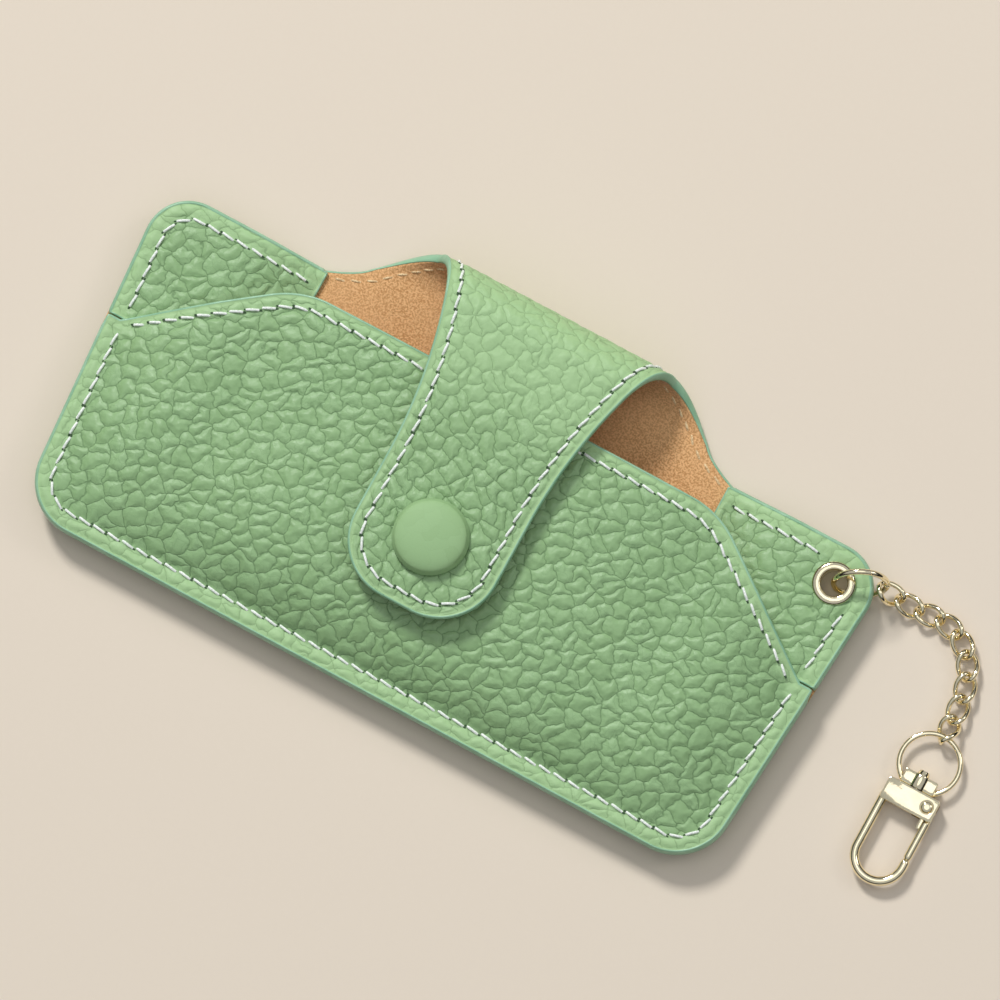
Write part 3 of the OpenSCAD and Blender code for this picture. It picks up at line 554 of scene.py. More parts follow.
class Sheet:
    """A closed sheet on a grid of pattern points: a face with grain, a rounded edge and an underside."""

    def __init__(self, pattern, cells, skin, under, edge, flip, depth=0.0, relief=None, shift=(0, 0), valley=None):
        rows, cols = pattern.shape[:2]
        self.cells, self.flip = cells, flip
        grid = np.arange(rows * cols).reshape(rows, cols)
        flat = pattern.reshape(-1, 2)
        a, b, c, d = cell_corners(grid)
        row_of = np.broadcast_to(np.arange(rows - 1)[:, None], cells.shape)
        near = np.pad(cells, 1)
        edges = []
        for p, q, neighbour in ((a, b, near[:-2, 1:-1]), (b, c, near[1:-1, 2:]),
                                (c, d, near[2:, 1:-1]), (d, a, near[1:-1, :-2])):
            open_edge = cells & ~neighbour
            edges.append(np.stack([p[open_edge], q[open_edge], row_of[open_edge]], 1))
        edges = np.concatenate(edges)
        run = flat[edges[:, 1]] - flat[edges[:, 0]]
        side = np.stack([run[:, 1], -run[:, 0]], 1) / np.maximum(1e-9, np.linalg.norm(run, axis=1))[:, None]
        normal = np.zeros((rows * cols, 2))
        np.add.at(normal, edges[:, 0], side)
        np.add.at(normal, edges[:, 1], side)
        rim = np.unique(edges[:, :2])
        out = normal[rim] / np.maximum(1e-9, np.linalg.norm(normal[rim], axis=1))[:, None]
        x, v = flat[:, 0], flat[:, 1]
        inset, thick, sweep = edge(flat[rim, 0], flat[rim, 1])
        # distance of every point from the outline
        tree = KDTree(len(rim))
        for k, r in enumerate(rim):
            tree.insert((x[r], v[r], 0), k)
        tree.balance()
        gap = np.full(rows * cols, 99.0)
        for k in np.flatnonzero(points_of(cells)):
            _, found, far = tree.find((x[k], v[k], 0))
            gap[k] = far + inset[found]
        face = skin(x, v, 0.0)
        up = face - skin(x, v, 0.1)
        up /= np.linalg.norm(up, axis=1)[:, None]
        self.hide = np.stack([x + shift[0], v + shift[1], np.zeros_like(x)], 1)
        self.relief = relief(x, v, gap) if relief else np.zeros_like(x)
        if valley:
            face = face + up * valley(x, v, gap)[:, None]
        if depth:
            face = self.with_grain(face, up, depth)
        bead = []
        for s in range(1, EDGE_LOOPS + 1):
            angle = sweep * s / EDGE_LOOPS
            push = inset * np.sin(angle)
            depth_here = thick / 2 * (1 - np.cos(angle))
            bead.append(skin(x[rim] + out[:, 0] * push, v[rim] + out[:, 1] * push, depth_here))
        bead = np.stack(bead, 1).reshape(-1, 3)
        self.base = rows * cols
        self.points = np.concatenate([face, under(x, v), bead])
        pad = np.zeros((len(bead), 3))
        pad[:, :2] = np.repeat(flat[rim] + np.array(shift), EDGE_LOOPS, 0)
        self.hide = np.concatenate([self.hide, self.hide, pad])
        self.relief = np.concatenate([self.relief, self.relief * 0, np.zeros(len(bead))])
        self.rim_at = np.full(rows * cols, -1)
        self.rim_at[rim] = np.arange(len(rim))
        self.edges, self.grid, self.rows = edges, grid, rows
        self.normals = None

    def with_grain(self, face, up, depth):
        obj = make_mesh("grain", face)
        put_attribute(obj.data, "hide", self.hide)
        put_attribute(obj.data, "up", up)
        put_attribute(obj.data, "relief", self.relief)
        run_tree(obj, RELIEF, {"Depth": depth * METRE})
        moved = corners_of(obj) / METRE
        bpy.data.objects.remove(obj)
        return moved

    def loop_ids(self, vertex):
        """Ids of the points down the edge from a rim point: face, edge loops, underside."""
        first = 2 * self.base + self.rim_at[vertex] * EDGE_LOOPS
        return np.concatenate([[vertex], first + np.arange(EDGE_LOOPS), [vertex + self.base]])

    def faces(self, low, high, coarse=True):
        """Faces of the rows from low to high, closed at both cuts, with a material number each."""
        cells = np.zeros_like(self.cells)
        cells[low:high] = self.cells[low:high]
        g, n = self.grid, self.base
        a, b, c, d = cell_corners(g, cells)
        groups = [(np.stack([a, b, c, d], 1), 0)]
        edges = self.edges[(self.edges[:, 2] >= low) & (self.edges[:, 2] < high)]
        for s in range(EDGE_LOOPS + 1):
            def loop(v, s):
                return v if s == 0 else v + n if s == EDGE_LOOPS + 1 else 2 * n + self.rim_at[v] * EDGE_LOOPS + s - 1
            p, q = edges[:, 0], edges[:, 1]
            quads = np.stack([loop(q, s), loop(p, s), loop(p, s + 1), loop(q, s + 1)], 1)
            groups.append((quads, 1 if s < EDGE_LOOPS else 2))
        under, odd = self.underside(cells, coarse)
        groups.append((under, 2))
        caps = []
        for row, turn in ((low, False), (high, True)):
            inside = row - 1 if turn else row
            outside = row if turn else row - 1
            if not 0 <= outside < len(self.cells) or not 0 <= inside < len(self.cells):
                continue
            shared = self.cells[inside] & self.cells[outside]
            if not shared.any():
                continue
            js = np.flatnonzero(shared)
            left, right = g[row, js[0]], g[row, js[-1] + 1]
            quads = np.stack([g[row, js], g[row, js] + n, g[row, js + 1] + n, g[row, js + 1]], 1)
            groups.append((quads[:, ::-1] if turn else quads, 2))
            for vertex, mirrored in ((left, True), (right, False)):
                if self.rim_at[vertex] >= 0:
                    fan = self.loop_ids(vertex)
                    caps.append(fan[::-1] if mirrored != turn else fan)
        return groups, odd, caps

    def underside(self, cells, coarse):
        n, g = self.base, self.grid
        if not coarse:
            a, b, c, d = cell_corners(g, cells)
            return np.stack([d, c, b, a], 1) + n, []
        size = 4
        rows, cols = (k // size for k in cells.shape)
        block = cells[:rows * size, :cols * size].reshape(rows, size, cols, size).all((1, 3))
        fine = cells.copy()
        fine[:rows * size, :cols * size] &= ~np.repeat(np.repeat(block, size, 0), size, 1)
        a, b, c, d = cell_corners(g, fine)
        quads = [np.stack([d, c, b, a], 1) + n]
        big = np.pad(block, 1)
        odd, plain = [], []
        for r, k in zip(*np.nonzero(block)):
            i, j = r * size, k * size
            around = big[r, k + 1], big[r + 1, k + 2], big[r + 2, k + 1], big[r + 1, k]
            if all(around):
                plain.append([g[i + size, j], g[i + size, j + size], g[i, j + size], g[i, j]])
                continue
            ring = []
            sides = (g[i, j:j + size], g[i:i + size, j + size], g[i + size, j + size:j:-1], g[i + size:i:-1, j])
            for line, same in zip(sides, around):
                ring.extend(line[:1] if same else line)
            odd.append(np.array(ring[::-1]) + n)
        if plain:
            quads.append(np.array(plain) + n)
        return np.concatenate(quads), odd

    def smooth_normals(self):
        """Normals of the whole sheet, so that the pieces cut from it meet without a line."""
        whole = self.build("whole", 0, self.rows - 1, (), False, keep=False)
        values = np.empty(len(whole.data.vertices) * 3, np.float32)
        whole.data.vertex_normals.foreach_get("vector", values)
        self.normals = np.zeros((len(self.points), 3))
        self.normals[self.kept] = values.reshape(-1, 3)
        bpy.data.objects.remove(whole)

    def build(self, name, low, high, materials, coarse=True, keep=True):
        groups, odd, caps = self.faces(low, high, coarse)
        quads = np.concatenate([q for q, _ in groups])
        index = np.concatenate([np.full(len(q), m) for q, m in groups])
        polygons = quads.tolist() + [list(p) for p in odd] + [list(p) for p in caps]
        index = np.concatenate([index, np.full(len(odd) + len(caps), 2)])
        if self.flip:
            polygons = [p[::-1] for p in polygons]
        ids = np.unique(np.concatenate([quads.ravel(), *odd, *caps]).astype(int))
        order = np.full(len(self.points), -1)
        order[ids] = np.arange(len(ids))
        table = order.tolist()
        mesh = bpy.data.meshes.new(name)
        mesh.from_pydata((self.points[ids] * METRE).tolist(), [], [[table[k] for k in p] for p in polygons])
        for material in materials:
            mesh.materials.append(material)
        mesh.polygons.foreach_set("material_index", index.astype(np.int32))
        mesh.polygons.foreach_set("use_smooth", np.ones(len(polygons), bool))
        mesh.update()
        self.kept = ids
        if keep:
            put_attribute(mesh, "hide", self.hide[ids])
            put_attribute(mesh, "relief", self.relief[ids])
            if self.normals is not None:
                mesh.normals_split_custom_set_from_vertices(self.normals[ids].tolist())
        return link_object(name, mesh)


def quarter(from_y, r):
    """Rows up a rounded corner, closer together as it turns level."""
    return list(from_y + r * np.sin(np.radians(np.arange(0, 90.1, CORNER_STEP))))


def spread(inner_half, outer_half, size, least=1):
    """Column positions from -1 to 1, with one on inner_half, and the count of columns outside it."""
    inner = math.ceil(inner_half / size)
    outer = max(least, math.ceil((outer_half - inner_half) / size))
    share = inner_half / outer_half
    half = np.concatenate([share * np.arange(1, inner + 1) / inner,
                           share + (1 - share) * np.arange(1, outer + 1) / outer])
    return np.concatenate([-half[::-1], [0], half]), share, outer


def bottom_rows(inset):
    turn = np.radians(np.arange(0, 90, CORNER_STEP))
    return list(BOTTOM_Y + BOTTOM_R - (BOTTOM_R - inset) * np.cos(turn))


def body_rows(inset, size):
    """Rows of the body from its bottom edge to the top of its ears, closer together in the corners."""
    middle = steps(BOTTOM_Y + BOTTOM_R, EAR_Y - EAR_R, size)
    return bottom_rows(inset) + middle + quarter(EAR_Y - EAR_R, EAR_R - inset)


def back_pattern(inset, strap_inset, size):
    """Pattern points of the back with its strap, its cells, and the rows where the strap is cut."""
    rows = body_rows(inset, size)
    body_count = len(rows)
    neck_y = rows[-1]
    neck = float(strap_x(np.array(neck_y), strap_inset))
    top_half = float(body_x(np.array(neck_y), inset))
    strap_rows = steps(neck_y, FOLD_CUTS[0], size)[1:]
    marks = []
    for k in range(4):
        marks.append(body_count + len(strap_rows))
        strap_rows += steps(FOLD_CUTS[k], FOLD_CUTS[k + 1], size)
    marks.append(body_count + len(strap_rows))
    strap_rows += steps(FOLD_CUTS[4], TAB_END_V - TAB_R, size)
    strap_rows += quarter(TAB_END_V - TAB_R, TAB_R - strap_inset)
    across, share, outer = spread(neck, top_half, size)
    rows = np.array(rows)
    strap_rows = np.array(strap_rows)
    body = body_x(rows, inset)[:, None] * across
    strap = strap_x(strap_rows, strap_inset)[:, None] * np.clip(across / share, -1, 1)
    every = np.concatenate([rows, strap_rows])
    x = np.concatenate([body, strap])
    pattern = np.stack([x, np.broadcast_to(every[:, None], x.shape)], -1)
    cells = np.zeros((len(every) - 1, len(across) - 1), bool)
    cells[:body_count - 1] = True
    cells[body_count - 1:, outer:-outer] = True
    return pattern, cells, marks


def hole_in(pattern, cells, centre, radius):
    """Opens a round hole in a grid and sets its edge on the circle."""
    middle = (pattern[:-1, :-1] + pattern[1:, 1:]) / 2
    inside = np.linalg.norm(middle - centre, axis=-1) < radius
    cells &= ~inside
    ring = points_of(inside) & points_of(cells)
    away = pattern[ring] - centre
    pattern[ring] = centre + away / np.linalg.norm(away, axis=-1)[:, None] * radius


def near_hole(x, v):
    return np.hypot(x - EYELET[0], v - EYELET[1]) < EYELET_BORE + 1.2


def body_edge(x, v):
    """Edge of the back: how far it stands out, the thickness it rounds, and how far round it goes."""
    on_strap = (v > EAR_Y - 0.6) & (abs(x) < NECK_HALF + 3)
    seam = 1 - smooth((v - 5.0) / 3.5)
    thick = SEAM_STACK * seam + EAR_STACK * (1 - seam)
    thick = np.where(on_strap, STACK, thick)
    inset = np.where(on_strap, STRAP_EDGE, BODY_EDGE)
    sweep = np.where(on_strap, math.pi, math.pi / 2)
    hole = near_hole(x, v)
    return np.where(hole, 0.02, inset), np.where(hole, LEATHER, thick), np.where(hole, math.pi, sweep)


def back_relief(x, v, gap):
    margin = np.where(v > EAR_Y, STRAP_MARGIN, BODY_MARGIN)
    outer = np.where(v > EAR_Y, 0.85, 0.6)
    inside = smooth((gap - margin + MARGIN_LEAD) / FADE)
    # On the strap round its fold the grain is flatter, and this drop also gives the leather painted light
    flat_and_lit = 1 - 0.42 * smooth((v - FOLD_Y + 4) / 8) * smooth((FLAT_V + 30 - v) / 28)
    return smooth((gap - RIM_FREE) / FADE) * (outer + (1 - outer) * inside) * flat_and_lit


def dip(gap, line):
    """Depth of the dip under a line of stitches."""
    return -DIP_DEPTH * np.exp(-((gap - line) / DIP_REACH) ** 2)


def roll(gap):
    """How far the face rolls down beside the painted edge."""
    return ROLL_DEPTH * np.exp(-((gap - ROLL_AT) / ROLL_REACH) ** 2)


def sewn_valley(margin):
    """The line of stitches pulls the leather down, and the margin outside it stands round."""
    return lambda x, v, gap: dip(gap, margin(x, v)) - roll(gap) * (gap < 3)


back_margin = lambda x, v: np.where(v > EAR_Y, STRAP_MARGIN, BODY_MARGIN)
pattern, cells, marks = back_pattern(BODY_EDGE, STRAP_EDGE, GRID)
hole_in(pattern, cells, EYELET, EYELET_BORE + HOLE_ROOM)
back = Sheet(pattern, cells, bend, lambda x, v: bend(x, v, LEATHER - LAP), body_edge,
             True, depth=GRAIN_DEPTH, relief=back_relief, valley=sewn_valley(back_margin))
back.smooth_normals()
skins = (leather, edge_paint, suede)


def blend_fold(obj):
    """Bakes the placement of a piece of the strap into its points; the piece is not bent or put on a body."""
    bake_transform(obj)


def cut_pieces(sheet, marks, stem, materials, coarse):
    """The pouch's part, the four parts round the fold and the tab of a back sheet."""
    last = sheet.rows - 1
    made = [sheet.build(f"{stem}_back", 0, marks[0], materials, coarse)]
    for k in range(4):
        made.append(sheet.build(f"{stem}_fold_{k + 1}", marks[k], marks[k + 1], materials, False))
    made.append(sheet.build(f"{stem}_tab", marks[4], last, materials, False))
    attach(made[0], "pouch")
    for k in range(4):
        blend_fold(made[k + 1])
    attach(made[5], "strap_tab")
    return made


back_pieces = cut_pieces(back, marks, "leather", skins, True)
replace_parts(back_pieces[0], "back_panel")
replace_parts(back_pieces[1], "flap_leather_1")
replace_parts(back_pieces[2], "flap_leather_2")
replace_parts(back_pieces[3], "flap_leather_3")
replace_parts(back_pieces[5], "flap_leather_tab")

# suede of the back and the strap
pattern, cells, lining_marks = back_pattern(BODY_EDGE + LINING_SLIP, STRAP_EDGE + LINING_SLIP, LINING_GRID)
hole_in(pattern, cells, EYELET, EYELET_BORE + 0.4)
plain_edge = lambda x, v: (np.full(x.shape, 0.0), np.full(x.shape, LINING), np.full(x.shape, math.pi))
lining = Sheet(pattern, cells, lining_skin, lambda x, v: bend(x, v, LEATHER + LINING_LAP), plain_edge, False)
lining.smooth_normals()
lining_pieces = cut_pieces(lining, lining_marks, "suede", (suede, suede, suede), False)
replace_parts(lining_pieces[0], "back_lining")
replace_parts(lining_pieces[1], "flap_lining_1")
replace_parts(lining_pieces[2], "flap_lining_2")
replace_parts(lining_pieces[3], "flap_lining_3")
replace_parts(lining_pieces[5], "flap_lining_tab")


# ---- front panel ----

def front_pattern(inset, mouth_inset, size):
    """Pattern points of the front panel; its rows above the mouth's side points end at the shoulders."""
    rows = bottom_rows(inset)
    level = MOUTH_SIDE_Y - mouth_inset
    rows += steps(BOTTOM_Y + BOTTOM_R, level, size)
    side_count = len(rows)
    bend_y = MOUTH_TOP_Y - SHOULDER_R + (SHOULDER_R - mouth_inset) * math.cos(SHOULDER_ANGLE)
    rows.append(level)
    rows += steps(level, bend_y, size)[1:]
    r = SHOULDER_R - mouth_inset
    rows += list(MOUTH_TOP_Y - SHOULDER_R + r * np.cos(np.linspace(SHOULDER_ANGLE, 0, 24)))
    rows = np.array(rows)
    side_half = float(body_x(np.array(level), inset))
    level_half = float(front_x(np.array(level), mouth_inset))
    across, share, outer = spread(level_half, side_half, size, 3)
    low = body_x(rows[:side_count + 1], inset)[:, None] * across
    high = front_x(rows[side_count + 1:], mouth_inset)[:, None] * np.clip(across / share, -1, 1)
    x = np.concatenate([low, high])
    pattern = np.stack([x, np.broadcast_to(rows[:, None], x.shape)], -1)
    cells = np.zeros((len(rows) - 1, len(across) - 1), bool)
    cells[:side_count] = True
    cells[side_count:, outer:-outer] = True
    return pattern, cells


def front_edge(x, v):
    free = smooth((v - MOUTH_SIDE_Y + 3.2) / 2.2)
    thick = SEAM_STACK * (1 - free) + STACK * free
    return BODY_EDGE * (1 - free) + MOUTH_EDGE * free, thick, math.pi / 2 * (1 + free)


def front_line(x, v):
    """Distance of the front's stitches from its outline."""
    return np.where(v < MOUTH_SIDE_Y - 3, BODY_MARGIN, MOUTH_MARGIN)


def front_relief(x, v, gap):
    outer = np.where(v < MOUTH_SIDE_Y - 3, 0.6, 0.7)
    line = front_line(x, v)
    return smooth((gap - RIM_FREE) / FADE) * (outer + (1 - outer) * smooth((gap - line + MARGIN_LEAD) / FADE))


pattern, cells = front_pattern(BODY_EDGE, MOUTH_EDGE, GRID)
front = Sheet(pattern, cells, front_skin, lambda x, v: front_skin(x, v, LEATHER - LAP), front_edge, False,
              depth=GRAIN_DEPTH, relief=front_relief, shift=(240, 0), valley=sewn_valley(front_line))
front_piece = front.build("leather_front", 0, front.rows - 1, skins)
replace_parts(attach(front_piece, "pouch"), "front_panel")

pattern, cells = front_pattern(BODY_EDGE + LINING_SLIP, MOUTH_EDGE + LINING_SLIP, LINING_GRID)
front_inside = Sheet(pattern, cells, front_lining_skin, lambda x, v: front_skin(x, v, LEATHER + LINING_LAP),
                     plain_edge, True)
inside_piece = front_inside.build("suede_front", 0, front_inside.rows - 1, (suede, suede, suede), False)
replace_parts(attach(inside_piece, "pouch"), "front_lining")


# ---- ear facings ----

def facing_pattern(size):
    inner_x = NECK_HALF + FACING_EDGE
    low_y = MOUTH_SIDE_Y + 0.2 + FACING_EDGE
    rows = np.array(steps(low_y, EAR_Y - EAR_R, size) + quarter(EAR_Y - EAR_R, EAR_R - BODY_EDGE))
    count = math.ceil((EAR_HALF - inner_x) / size)
    share = np.arange(count + 1) / count
    wide = body_x(rows, BODY_EDGE)
    x = inner_x + (wide[:, None] - inner_x) * share
    return np.stack([x, np.broadcast_to(rows[:, None], x.shape)], -1), np.ones((len(rows) - 1, count), bool)


def facing_edge(x, v):
    x = abs(x)
    inner = (x < NECK_HALF + 1.2) | (v < MOUTH_SIDE_Y + 1.2) & (x < side_x(v) - BODY_EDGE - 0.1)
    hole = near_hole(x, v)
    inset = np.where(hole, 0.02, np.where(inner, FACING_EDGE, BODY_EDGE))
    thick = np.where(hole | inner, LEATHER, EAR_STACK)
    return inset, thick, np.where(hole | inner, math.pi, math.pi / 2)


def facing_relief(x, v, gap):
    from_edge = np.minimum(body_x(v) - abs(x), EAR_Y - v)
    return smooth((gap - 0.5) / FADE) * (0.6 + 0.4 * smooth((from_edge - BODY_MARGIN + MARGIN_LEAD) / FADE))


def facing_valley(x, v, gap):
    corner = np.maximum(0, EAR_R - np.hypot(np.maximum(0, abs(x) - side_x(v) + EAR_R),
                                            np.maximum(0, v - EAR_Y + EAR_R)))
    return dip(corner, BODY_MARGIN) - roll(corner)


for side, name in ((-1, "left"), (1, "right")):
    pattern, cells = facing_pattern(GRID)
    if side > 0:
        hole_in(pattern, cells, EYELET, EYELET_BORE + HOLE_ROOM)
    else:
        pattern = pattern[:, ::-1] * np.array([-1, 1])
    sheet = Sheet(pattern, cells, facing_skin, lambda x, v: facing_skin(x, v, LEATHER - LAP), facing_edge, False,
                  depth=GRAIN_DEPTH, relief=facing_relief, shift=(0, 300), valley=facing_valley)
    piece = sheet.build(f"leather_facing_{name}", 0, sheet.rows - 1, skins)
    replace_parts(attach(piece, "pouch"), f"facing_{name}")

# ---- stitching ----

def along_path(path):
    """Middles of stitches, evenly along a flat path, with the path's direction at each."""
    path = np.asarray(path, float)
    part = np.linalg.norm(np.diff(path, axis=0), axis=1)
    length = np.concatenate([[0], np.cumsum(part)])
    count = int((length[-1] - 2 * STITCH_START) // STITCH_PITCH)
    spare = (length[-1] - count * STITCH_PITCH) / 2
    s = spare + (np.arange(count) + 0.5) * STITCH_PITCH
    place = np.stack([np.interp(s, length, path[:, k]) for k in (0, 1)], 1)
    ahead = np.stack([np.interp(s + 0.6, length, path[:, k]) for k in (0, 1)], 1)
    behind = np.stack([np.interp(s - 0.6, length, path[:, k]) for k in (0, 1)], 1)
    return place, ahead, behind


def stitches(name, body, paths, skin, thread_of=None, node=None, blend=None, keep=None):
    """Stitches along paths on a skin, as one piece."""
    places, directions, ups = [], [], []
    for path in paths:
        place, ahead, behind = along_path(path)
        good = np.hypot(*(place - EYELET).T) > EYELET_R + 1.6
        if keep is not None:
            good &= keep(place)
        place, ahead, behind = place[good], ahead[good], behind[good]
        if not len(place):
            continue
        spot = skin(place[:, 0], place[:, 1], 0.0)
        out = spot - skin(place[:, 0], place[:, 1], 0.1)
        out /= np.linalg.norm(out, axis=1)[:, None]
        run = skin(ahead[:, 0], ahead[:, 1], 0.0) - skin(behind[:, 0], behind[:, 1], 0.0)
        run -= out * (run * out).sum(1)[:, None]
        run /= np.linalg.norm(run, axis=1)[:, None]
        run = run * math.cos(STITCH_SLANT) + np.cross(out, run) * math.sin(STITCH_SLANT)
        places.append(spot - out * STITCH_SINK)
        directions.append(run)
        ups.append(out)
    obj = make_mesh(name, np.concatenate(places))
    put_attribute(obj.data, "along", np.concatenate(directions))
    put_attribute(obj.data, "up", np.concatenate(ups))
    run_tree(obj, STITCH, {"Length": (STITCH_LEN + STITCH_TAIL) * METRE, "Thread": THREAD_R * METRE,
                           "Arch": STITCH_ARCH * METRE, "Hole": NEEDLE_HOLE * METRE, "Pitch": STITCH_PITCH * METRE,
                           "Thread material": thread_of or thread, "Hole shade material": hole_shade})
    if blend is None:
        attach(obj, body)
    else:
        blend_fold(obj)
    if node:
        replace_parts(obj, node)
    return obj


def arc(cx, cy, r, a0, a1, count=10):
    a = np.radians(np.linspace(a0, a1, count))
    return list(zip(cx + r * np.cos(a), cy + r * np.sin(a)))


def mirrored(path):
    return [(-x, y) for x, y in path]


bottom_cx = float(side_x(BOTTOM_Y + BOTTOM_R)) - BOTTOM_R
corner_y = BOTTOM_Y + BOTTOM_R
side_half_path = (arc(bottom_cx, corner_y, BOTTOM_R - BODY_MARGIN, -90, 0)
                  + [(float(side_x(MOUTH_SIDE_Y)) - BODY_MARGIN, MOUTH_SIDE_Y - 0.7)])
side_path = mirrored(side_half_path)[::-1] + side_half_path
ear_cx = float(side_x(EAR_Y - EAR_R)) - EAR_R
ear_path = ([(float(side_x(MOUTH_SIDE_Y)) - BODY_MARGIN, MOUTH_SIDE_Y + 0.9)]
            + arc(ear_cx, EAR_Y - EAR_R, EAR_R - BODY_MARGIN, 0, 90) + [(NECK_HALF + 0.9, EAR_Y - BODY_MARGIN)])
mouth_half = ([(0, MOUTH_TOP_Y - MOUTH_MARGIN)]
              + arc(SHOULDER_CX, MOUTH_TOP_Y - SHOULDER_R, SHOULDER_R - MOUTH_MARGIN, 90,
                    90 - math.degrees(SHOULDER_ANGLE), 14)
              + [(MOUTH_SIDE_HALF - 1.8, MOUTH_SIDE_Y - MOUTH_MARGIN + 2)])
mouth_path = mirrored(mouth_half)[::-1] + mouth_half[1:]

stitches("thread_side", "pouch", [side_path], front_skin, node="side_thread")
stitches("thread_ear", "pouch", [ear_path, mirrored(ear_path)], facing_skin, node="ear_thread")
stitches("thread_mouth", "pouch", [mouth_path], front_skin, node="mouth_thread")
back_path = (mirrored(ear_path)[::-1] + mirrored(side_half_path)[::-1] + side_half_path + ear_path)
stitches("thread_back", "pouch", [back_path], bend)


strap_v = np.linspace(EAR_Y - 1.5, TAB_END_V - TAB_R, 160)
strap_side = (list(zip(strap_side_x(strap_v, STRAP_MARGIN), strap_v))
              + arc(TAB_HALF - TAB_R, TAB_END_V - TAB_R, TAB_R - STRAP_MARGIN, 0, 90))
strap_path = strap_side + mirrored(strap_side)[::-1]
edges_v = [EAR_Y - 5] + FOLD_CUTS + [TAB_END_V]
thread_nodes = ["flap_thread_1", "flap_thread_2", "flap_thread_3", None, "flap_thread_tab"]
for stem, skin, colour in (("thread_strap", bend, thread), ("thread_inside", lining_skin, tan_thread)):
    for k in range(6):
        low, high = edges_v[k], edges_v[k + 1]
        inside = lambda place, low=low, high=high: (place[:, 1] >= low) & (place[:, 1] < high)
        body = "pouch" if k == 0 else "strap_tab"
        stitches(f"{stem}_{k}", body, [strap_path], skin, thread_of=colour, keep=inside,
                 blend=k - 1 if 1 <= k <= 4 else None,
                 node=thread_nodes[k - 1] if stem == "thread_strap" and k else None)

# ---- metal ----

def weld(obj):
    """Merges points that lie together, such as a lathe's pole."""
    work = bmesh.new()
    work.from_mesh(obj.data)
    bmesh.ops.remove_doubles(work, verts=work.verts, dist=0.002 * METRE)
    work.to_mesh(obj.data)
    work.free()


def wrap(rows, count, closed=False, twist=0):
    """Faces round a run of rings of points, with flat ends unless the run is a loop."""
    faces = []
    for i in range(rows if closed else rows - 1):
        i2 = (i + 1) % rows
        k = 0 if i2 else twist
        for j in range(count):
            j2 = (j + 1) % count
            faces.append([i * count + j, i * count + j2, i2 * count + (j2 + k) % count, i2 * count + (j + k) % count])
    if not closed:
        faces.append(list(range(count))[::-1])
        faces.append(list(range((rows - 1) * count, rows * count)))
    return faces


def lathe(name, profile, centre, materials, count=72, closed=True):
    """A turned piece round an upright axis, from its profile of (radius, height)."""
    profile = np.asarray(profile, float)
    turn = np.radians(np.arange(count) * 360 / count)
    points = np.stack([profile[:, 0, None] * np.cos(turn), profile[:, 0, None] * np.sin(turn),
                       np.broadcast_to(profile[:, 1, None], (len(profile), count))], -1) + np.asarray(centre)
    obj = make_mesh(name, points.reshape(-1, 3), wrap(len(profile), count, closed), materials)
    if profile[:, 0].min() < 0.001:
        weld(obj)
    return obj


def rounded(profile, radius, count=4):
    """A closed profile with its corners rounded."""
    profile = np.asarray(profile, float)
    out = []
    for k, p in enumerate(profile):
        a, b = profile[k - 1] - p, profile[(k + 1) % len(profile)] - p
        la, lb = np.linalg.norm(a), np.linalg.norm(b)
        r = min(radius, 0.45 * la, 0.45 * lb)
        start, end = p + a / la * r, p + b / lb * r
        for s in np.linspace(0, 1, count):
            out.append((1 - s) ** 2 * start + 2 * s * (1 - s) * p + s * s * end)
    return np.array(out)


def tube(name, line, radius, materials, closed=False, sides=20, ends=4):
    """A round rod along a line, with domed ends unless it is a loop."""
    line = np.asarray(line, float)
    radii = np.broadcast_to(np.asarray(radius, float), (len(line),)).copy()
    if not closed:
        def dome(tip, direction, r):
            a = np.linspace(0.12, math.pi / 2, ends, endpoint=False)
            return [tip + direction * r * (math.cos(t)) for t in a], [r * math.sin(t) for t in a]
        first = (line[0] - line[1]) / np.linalg.norm(line[0] - line[1])
        final = (line[-1] - line[-2]) / np.linalg.norm(line[-1] - line[-2])
        p0, r0 = dome(line[0], first, radii[0])
        p1, r1 = dome(line[-1], final, radii[-1])
        line = np.concatenate([p0, line, p1[::-1]])
        radii = np.concatenate([r0, radii, r1[::-1]])
    run = np.roll(line, -1, 0) - np.roll(line, 1, 0)
    if not closed:
        run[0], run[-1] = line[1] - line[0], line[-1] - line[-2]
    run /= np.linalg.norm(run, axis=1)[:, None]
    side = np.cross(run[0], [0.123, 0.456, 0.88])
    frames = []
    for d in run:
        side = side - d * side.dot(d)
        side /= np.linalg.norm(side)
        frames.append((side.copy(), np.cross(d, side)))
    turn = np.radians(np.arange(sides) * 360 / sides)
    points = np.array([p + r * (np.cos(turn)[:, None] * s + np.sin(turn)[:, None] * u)
                       for p, r, (s, u) in zip(line, radii, frames)])
    shift = 0
    if closed:
        s0, u0 = frames[0]
        s1 = frames[-1][0]
        shift = int(round(math.atan2(s1.dot(u0), s1.dot(s0)) / (2 * math.pi / sides)))
    return make_mesh(name, points.reshape(-1, 3), wrap(len(line), sides, closed, shift), materials)


def metal_piece(obj, body, *nodes):
    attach(obj, body)
    if nodes:
        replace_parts(obj, *nodes)
    return obj


ear_top = SEAM_Z + EAR_STACK
barrel = EYELET_BORE + 0.4
flange = [(EYELET_BORE, SEAM_Z - 0.4), (barrel - 0.05, SEAM_Z - 0.4), (barrel - 0.05, ear_top - 0.1),
          (EYELET_R, ear_top - 0.1), (EYELET_R + 0.02, ear_top + 0.18), (EYELET_R - 0.35, ear_top + 0.5),
          (barrel + 0.25, ear_top + 0.62), (EYELET_BORE + 0.12, ear_top + 0.5), (EYELET_BORE, ear_top + 0.1)]
eyelet = lathe("eyelet_rim", rounded(flange, 0.3), (*EYELET, 0), (gold,))
metal_piece(eyelet, "pouch", "eyelet")

